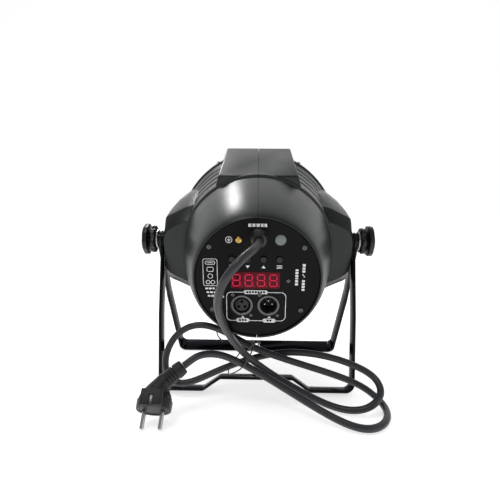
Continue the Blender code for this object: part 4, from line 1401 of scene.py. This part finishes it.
@dataclass
class MainsLead:
    """The free lead with its plug, and the wire tie round its folds."""

    bench: Bench
    radius: float = 4.0
    route: tuple[Point3, ...] = (
        (-10, -170, 190), (-25, -177, 175), (-35, -171, 156), (-37, -148, 132), (-33, -110, 104),
        (-20, -72, 66), (14, -63, 36), (74, -78, 7), (105, -93, 5), (127, -97, 12), (143, -85, 23),
        (140, -68, 34), (122, -58, 43), (85, -52, 54), (45, -48, 57), (16, -45, 52),
        (-18, -46, 43), (-52, -53, 31), (-84, -60, 17), (-105, -60, 22), (-113, -52, 46),
        (-99, -48, 78), (-70, -48, 92), (-38, -50, 82), (-8, -55, 64), (38, -60, 50),
        (116, -52, 24), (140, -56, 9), (149, -82, 5), (141, -112, 5), (118, -131, 5),
        (88, -118, 6), (24, -78, 30), (-16, -75, 52), (-42, -78, 65), (-63, -87, 67),
        (-73, -92, 61),
    )
    entry: Point3 = (-80.0, -95.0, 56.0)
    entry_dir: Point3 = (0.76, 0.32, 0.57)
    face: Point3 = (-108.0, -117.7, 15.8)
    pin_dir: Point3 = (0.0, -0.707, -0.707)
    pin_r: float = 2.4
    pin_pitch: float = 19.0
    pin_length: float = 19.0
    wire_r: float = 0.75
    tie_center: Point3 = (-15.0, -60.0, 56.0)
    tie_normal: Point3 = (0.82, 0.12, -0.56)
    tie_wrap: tuple[Point2, ...] = (
        (9, 19), (-4, 21.5), (-18, 14), (-24, 1.5), (-21, -10), (-9, -21), (5, -31.5), (16, -31.5),
        (20, -22), (19, -6), (15, 11),
    )
    pieces: list[bpy.types.Object] = field(default_factory=list)

    def on_floor(self, point: Point3) -> Vector:
        """A route point in the row frame."""
        return Vector(point) * MM + self.bench.stance.floor

    def tube(self, name: str, lines: Sequence[Sequence[Vector]], radius: float) -> bpy.types.Object:
        """A round curve along one or more open lines of points, in metres.

        Args:
            name: The object's name.
            lines: The lines, each a list of points.
            radius: The radius of the tube in millimetres.

        Returns:
            The curve object.
        """
        curve = bpy.data.curves.new(name, "CURVE")
        curve.dimensions = "3D"
        curve.bevel_depth = radius * MM
        curve.bevel_resolution = 6
        curve.use_fill_caps = True
        for points in lines:
            spline = curve.splines.new("POLY")
            spline.points.add(len(points) - 1)
            for place, point in zip(spline.points, points):
                place.co = (*point, 1.0)
            spline.use_smooth = True
        made = bpy.data.objects.new(name, curve)
        bpy.context.scene.collection.objects.link(made)
        return made

    def solid(self, line: bpy.types.Object, name: str) -> bpy.types.Object:
        """A curve's tube as a mesh object, in place of the curve.

        Args:
            line: The curve object, which is removed.
            name: The mesh object's name.

        Returns:
            The mesh object.
        """
        bpy.context.view_layer.update()
        graph = bpy.context.evaluated_depsgraph_get()
        made = bpy.data.objects.new(name, bpy.data.meshes.new_from_object(line.evaluated_get(graph)))
        bpy.context.scene.collection.objects.link(made)
        bpy.data.objects.remove(line, do_unlink=True)
        smooth(made)
        return made

    def cord(self) -> None:
        """The lead itself, from the gland's mouth to the plug."""
        mouth = self.bench.stance.housing @ self.bench.stance.panel(ControlPanel.gland)
        start, ahead = (mouth @ Vector((0.0, 0.0, height * MM)) for height in (17.3, 31.0))
        end = self.on_floor(self.entry) + Vector(self.entry_dir).normalized() * 0.6 * MM
        points = eased([start, ahead, *(self.on_floor(point) for point in self.route), end], 8)
        made = self.solid(self.tube("lead_line", [points], self.radius), "lead")
        made.data.materials.clear()
        made.data.materials.append(self.bench.paint.get(Coat.CORD))
        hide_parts("mains_cord")
        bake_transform(made)
        length = sum((b - a).length for a, b in zip(points, points[1:]))
        LOG.info("lead is %.3f m long", length)

    def plug_body(self) -> None:
        """The moulded plug: round head with flats and a rim, waist, neck, and a ribbed strain relief."""
        face, entry = self.on_floor(self.face), self.on_floor(self.entry)
        back, out = -Vector(self.pin_dir).normalized(), Vector(self.entry_dir).normalized()
        rings = []
        head = ((0.9, 14.6, 0.0), (0.0, 15.2, 0.0), (0.0, 17.6, 0.0), (0.6, 18.4, 0.02), (1.6, 18.6, 0.03))
        head += ((6.0, 18.8, 0.03), (10.0, 19.0, 0.03), (10.6, 18.2, 0.02), (14.0, 17.4, 0.02))
        for depth, radius, flat in head:
            rings.append(ring_points(facing(back, face + back * depth * MM), radius, 72, flat))
        start, stop = face + back * 16.0 * MM, entry - out * 25.0 * MM
        for share, radius in ((0.0, 16.4), (0.25, 14.8), (0.5, 12.6), (0.75, 10.6), (1.0, 9.4)):
            turn = back.lerp(out, share)
            rings.append(ring_points(facing(turn, start.lerp(stop, share)), radius, 72))
        relief = [(24.0, 9.2)]
        for rib in range(4):
            top = 21.5 - rib * 3.4
            relief += [(top, 8.8), (top - 0.2, 7.0), (top - 1.1, 6.9), (top - 1.3, 8.7)]
        relief += [(6.2, 8.6), (1.2, 8.0), (0.3, 7.4), (0.0, 6.6)]
        for depth, radius in relief:
            rings.append(ring_points(facing(out, entry - out * depth * MM), radius, 72))
        made = loft("plug_moulding", rings, 40.0)
        for side in (-1, 1):
            frame = facing(-back, face) @ Matrix.Translation((side * self.pin_pitch / 2 * MM, 0.0, 0.0))
            carve(made, rod("pin_socket", self.pin_r + 0.3, -7.0, 2.0, 32), Cut.TAKE, frame)
        block = box("raised_block", (23.0, 5.5, 17.0), (0.0, 0.0, 0.0))
        soften(block, 1.0, 3)
        carve(made, block, Cut.ADD, facing(-back, face) @ Matrix.Translation((0.0, 17.6 * MM, -9.0 * MM)))
        slot = facing(-back, face) @ Matrix.Translation((0.0, 20.6 * MM, -5.0 * MM))
        carve(made, box("clip_slot", (5.0, 3.2, 13.0), (0.0, 0.0, 0.0)), Cut.TAKE, slot)
        smooth(made, 40.0)
        self.pieces.append(self.bench.put(made, "front_yoke", Coat.MOULDED, "rubber", "plug_body"))

    def earth_clip(self) -> None:
        """The earth contact strip in its slot on the head."""
        back = -Vector(self.pin_dir).normalized()
        made = box("earth_clip", (4.0, 0.5, 10.5), (0.0, 0.0, 0.0))
        soften(made, 0.18, 2)
        frame = facing(-back, self.on_floor(self.face))
        made.matrix_world = frame @ Matrix.Translation((0.0, 19.4 * MM, -5.6 * MM))
        self.pieces.append(self.bench.put(made, "front_yoke", Coat.BLACK_STEEL, "black_steel"))

    def pins(self) -> None:
        """Two round pins with domed tips."""
        for index, side in enumerate((-1, 1), start=1):
            r, tip = self.pin_r, self.pin_length
            profile = [*reversed(arc((0.0, tip - 1.6), (r, 1.6), 0, 90, 6)), (r, -6.5), (0.0, -6.5)]
            made = lathe(f"round_pin_{index}", profile, 40)
            frame = facing(Vector(self.pin_dir), self.on_floor(self.face))
            made.matrix_world = frame @ Matrix.Translation((side * self.pin_pitch / 2 * MM, 0.0, 0.0))
            self.pieces.append(self.bench.put(made, "front_yoke", Coat.NICKEL, "nickel", f"plug_pin_{index}"))

    def tie(self) -> None:
        """A wire tie round the strands, with its short free ends and a loose loop."""
        frame = facing(Vector(self.tie_normal), self.on_floor(self.tie_center))
        around = [frame @ Vector((across * MM, up * MM, 0.0)) for across, up in self.tie_wrap]
        wrap = eased(around, 8, cyclic=True)
        tail = ((-9, -83, 70), (-5, -85, 78), (2, -84, 82), (5, -83, 79), (1, -82, 76))
        loose = ((-12, -82, 68), (-30, -84, 84), (-44, -80, 98), (-46, -78, 86), (-38, -76, 78))
        ends = [eased([self.on_floor(point) for point in line], 8) for line in (tail, loose)]
        made = self.tube("wire_wrap", [[*wrap, wrap[0]], *ends], self.wire_r)
        self.bench.put(made, "front_yoke", Coat.WIRE, "rubber", "cord_tie")
        self.pieces.append(made)

    def build(self) -> None:
        """Build the plug and tie, then the lead."""
        self.plug_body()
        self.earth_clip()
        self.pins()
        self.tie()
        self.cord()


# ---------------------------------------------------------------- carried-over pieces and studio


@dataclass
class CarriedOver:
    """CAD nodes whose shape is right and that only take a finish."""

    bench: Bench
    by_slot: tuple[tuple[str, Coat], ...] = (
        ("cast_housing", Coat.CAST), ("panel_black", Coat.PANEL), ("yoke_gloss", Coat.YOKE),
        ("black_plastic", Coat.PLASTIC), ("rubber", Coat.RUBBER), ("zinc_steel", Coat.ZINC),
        ("black_steel", Coat.BLACK_STEEL), ("brass", Coat.BRASS), ("aluminium", Coat.ALUMINIUM),
        ("front_glass", Coat.GLASS), ("lens_plate", Coat.HOLDER), ("display_red", Coat.WINDOW),
        ("circuit_board", Coat.BOARD), ("cord_pvc", Coat.CORD), ("nickel", Coat.NICKEL),
    )

    def build(self) -> None:
        """Give every node the finish of its slot."""
        coats = dict(self.by_slot)
        for part in self.bench.stance.frame["record"]["subparts"]:
            made = self.bench.stance.frame["nodes"][part["node"]]
            material = self.bench.paint.get(coats[part["material_slot"]])
            if not made.material_slots:
                made.data.materials.append(material)
            for slot in made.material_slots:
                slot.material = material


@dataclass
class Studio:
    """Pale floor, soft lights and the camera."""

    stance: Stance
    lens: float = 28.8
    distance: float = 0.514
    height: float = 0.236
    pitch: float = math.radians(6.9)
    yaw: float = math.radians(-1.1)
    roll: float = math.radians(0.5)

    def camera(self) -> None:
        """The camera behind and above the control panel."""
        data = bpy.data.cameras.new("camera")
        data.lens, data.sensor_width, data.sensor_height = self.lens, 36.0, 36.0
        made = bpy.data.objects.new("camera", data)
        flat = math.cos(self.pitch)
        ahead = Vector((math.sin(self.yaw) * flat, math.cos(self.yaw) * flat, -math.sin(self.pitch)))
        level = Vector((math.cos(self.yaw), -math.sin(self.yaw), 0.0))
        up = level.cross(ahead)
        right = level * math.cos(self.roll) + up * math.sin(self.roll)
        over = up * math.cos(self.roll) - level * math.sin(self.roll)
        place = Vector((0.0, self.stance.pivot.y - self.distance, self.height))
        made.matrix_world = Matrix.Translation(place) @ Matrix((right, over, -ahead)).transposed().to_4x4()
        bpy.context.scene.collection.objects.link(made)
        bpy.context.scene.camera = made

    def light(
        self, name: str, place: Point3, size: float, watts: float, tint: Color = (1.0, 1.0, 1.0)
    ) -> None:
        """A square soft light aimed at the light's middle.

        Args:
            name: Its name.
            place: Where it stands, in metres.
            size: The length of its side in metres.
            watts: Its power.
            tint: Its colour.
        """
        data = bpy.data.lights.new(name, "AREA")
        data.size, data.energy, data.color = size, watts, tint
        made = bpy.data.objects.new(name, data)
        aim = Vector((0.0, 0.0, 0.16)) - Vector(place)
        made.matrix_world = Matrix.Translation(place) @ aim.to_track_quat("-Z", "Y").to_matrix().to_4x4()
        bpy.context.scene.collection.objects.link(made)

    def floor(self) -> None:
        """A wide pale floor."""
        bm = bmesh.new()
        bmesh.ops.create_grid(bm, x_segments=2, y_segments=2, size=6.0)
        made = finished(bm, "studio_floor")
        made.location.z = -0.0002
        coat = Finish("studio_paper", (0.93, 0.93, 0.93), 0.8, 0.0, 0.005, 0.02, 300.0, 0.000002, glow=0.7)
        made.data.materials.append(coat.build())

    def surroundings(self) -> None:
        """A white backdrop ahead of the camera in a dimmer room."""
        world = bpy.data.worlds.new("studio")
        world.use_nodes = True
        nodes, links = world.node_tree.nodes, world.node_tree.links
        axes, split = nodes.new("ShaderNodeTexCoord"), nodes.new("ShaderNodeSeparateXYZ")
        fade = nodes.new("ShaderNodeMapRange")
        fade.interpolation_type = "SMOOTHSTEP"
        for name, value in (("From Min", -0.1), ("From Max", 0.85), ("To Min", 0.32), ("To Max", 1.0)):
            fade.inputs[name].default_value = value
        links.new(axes.outputs["Generated"], split.inputs["Vector"])
        links.new(split.outputs["Y"], fade.inputs["Value"])
        nodes["Background"].inputs["Color"].default_value = (1.0, 1.0, 1.0, 1.0)
        links.new(fade.outputs["Result"], nodes["Background"].inputs["Strength"])
        bpy.context.scene.world = world

    def build(self) -> None:
        """Set the camera, floor, lights and surroundings."""
        self.camera()
        self.floor()
        self.surroundings()
        self.light("key", (-0.34, 0.6, 0.92), 0.16, 2.6)
        self.light("over", (-0.4, -0.5, 1.2), 0.4, 3.0)
        self.light("fill", (0.95, -0.6, 0.5), 0.5, 1.2, (0.93, 0.96, 1.0))
        bpy.context.scene.view_settings.view_transform = "Standard"


def main() -> None:
    """Build the light's looks on its CAD frame."""
    logging.basicConfig(level=logging.INFO, format="%(name)s: %(message)s")
    stance = Stance(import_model())
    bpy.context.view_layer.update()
    bench = Bench(stance)
    Studio(stance).build()
    CarriedOver(bench).build()
    MainsLead(bench).build()
    Housing(bench).build()
    FrontEnd(bench).build()
    ControlPanel(bench).build()
    Yoke(bench, "front_yoke", -stance.front_lean, 123.0, 120.5, 10.0, True).build()
    Yoke(bench, "rear_yoke", stance.rear_lean, 127.5, 121.5, 9.0, False).build()
    for side in Side:
        Knob(bench, side).build()


if __name__ == "__main__":
    main()
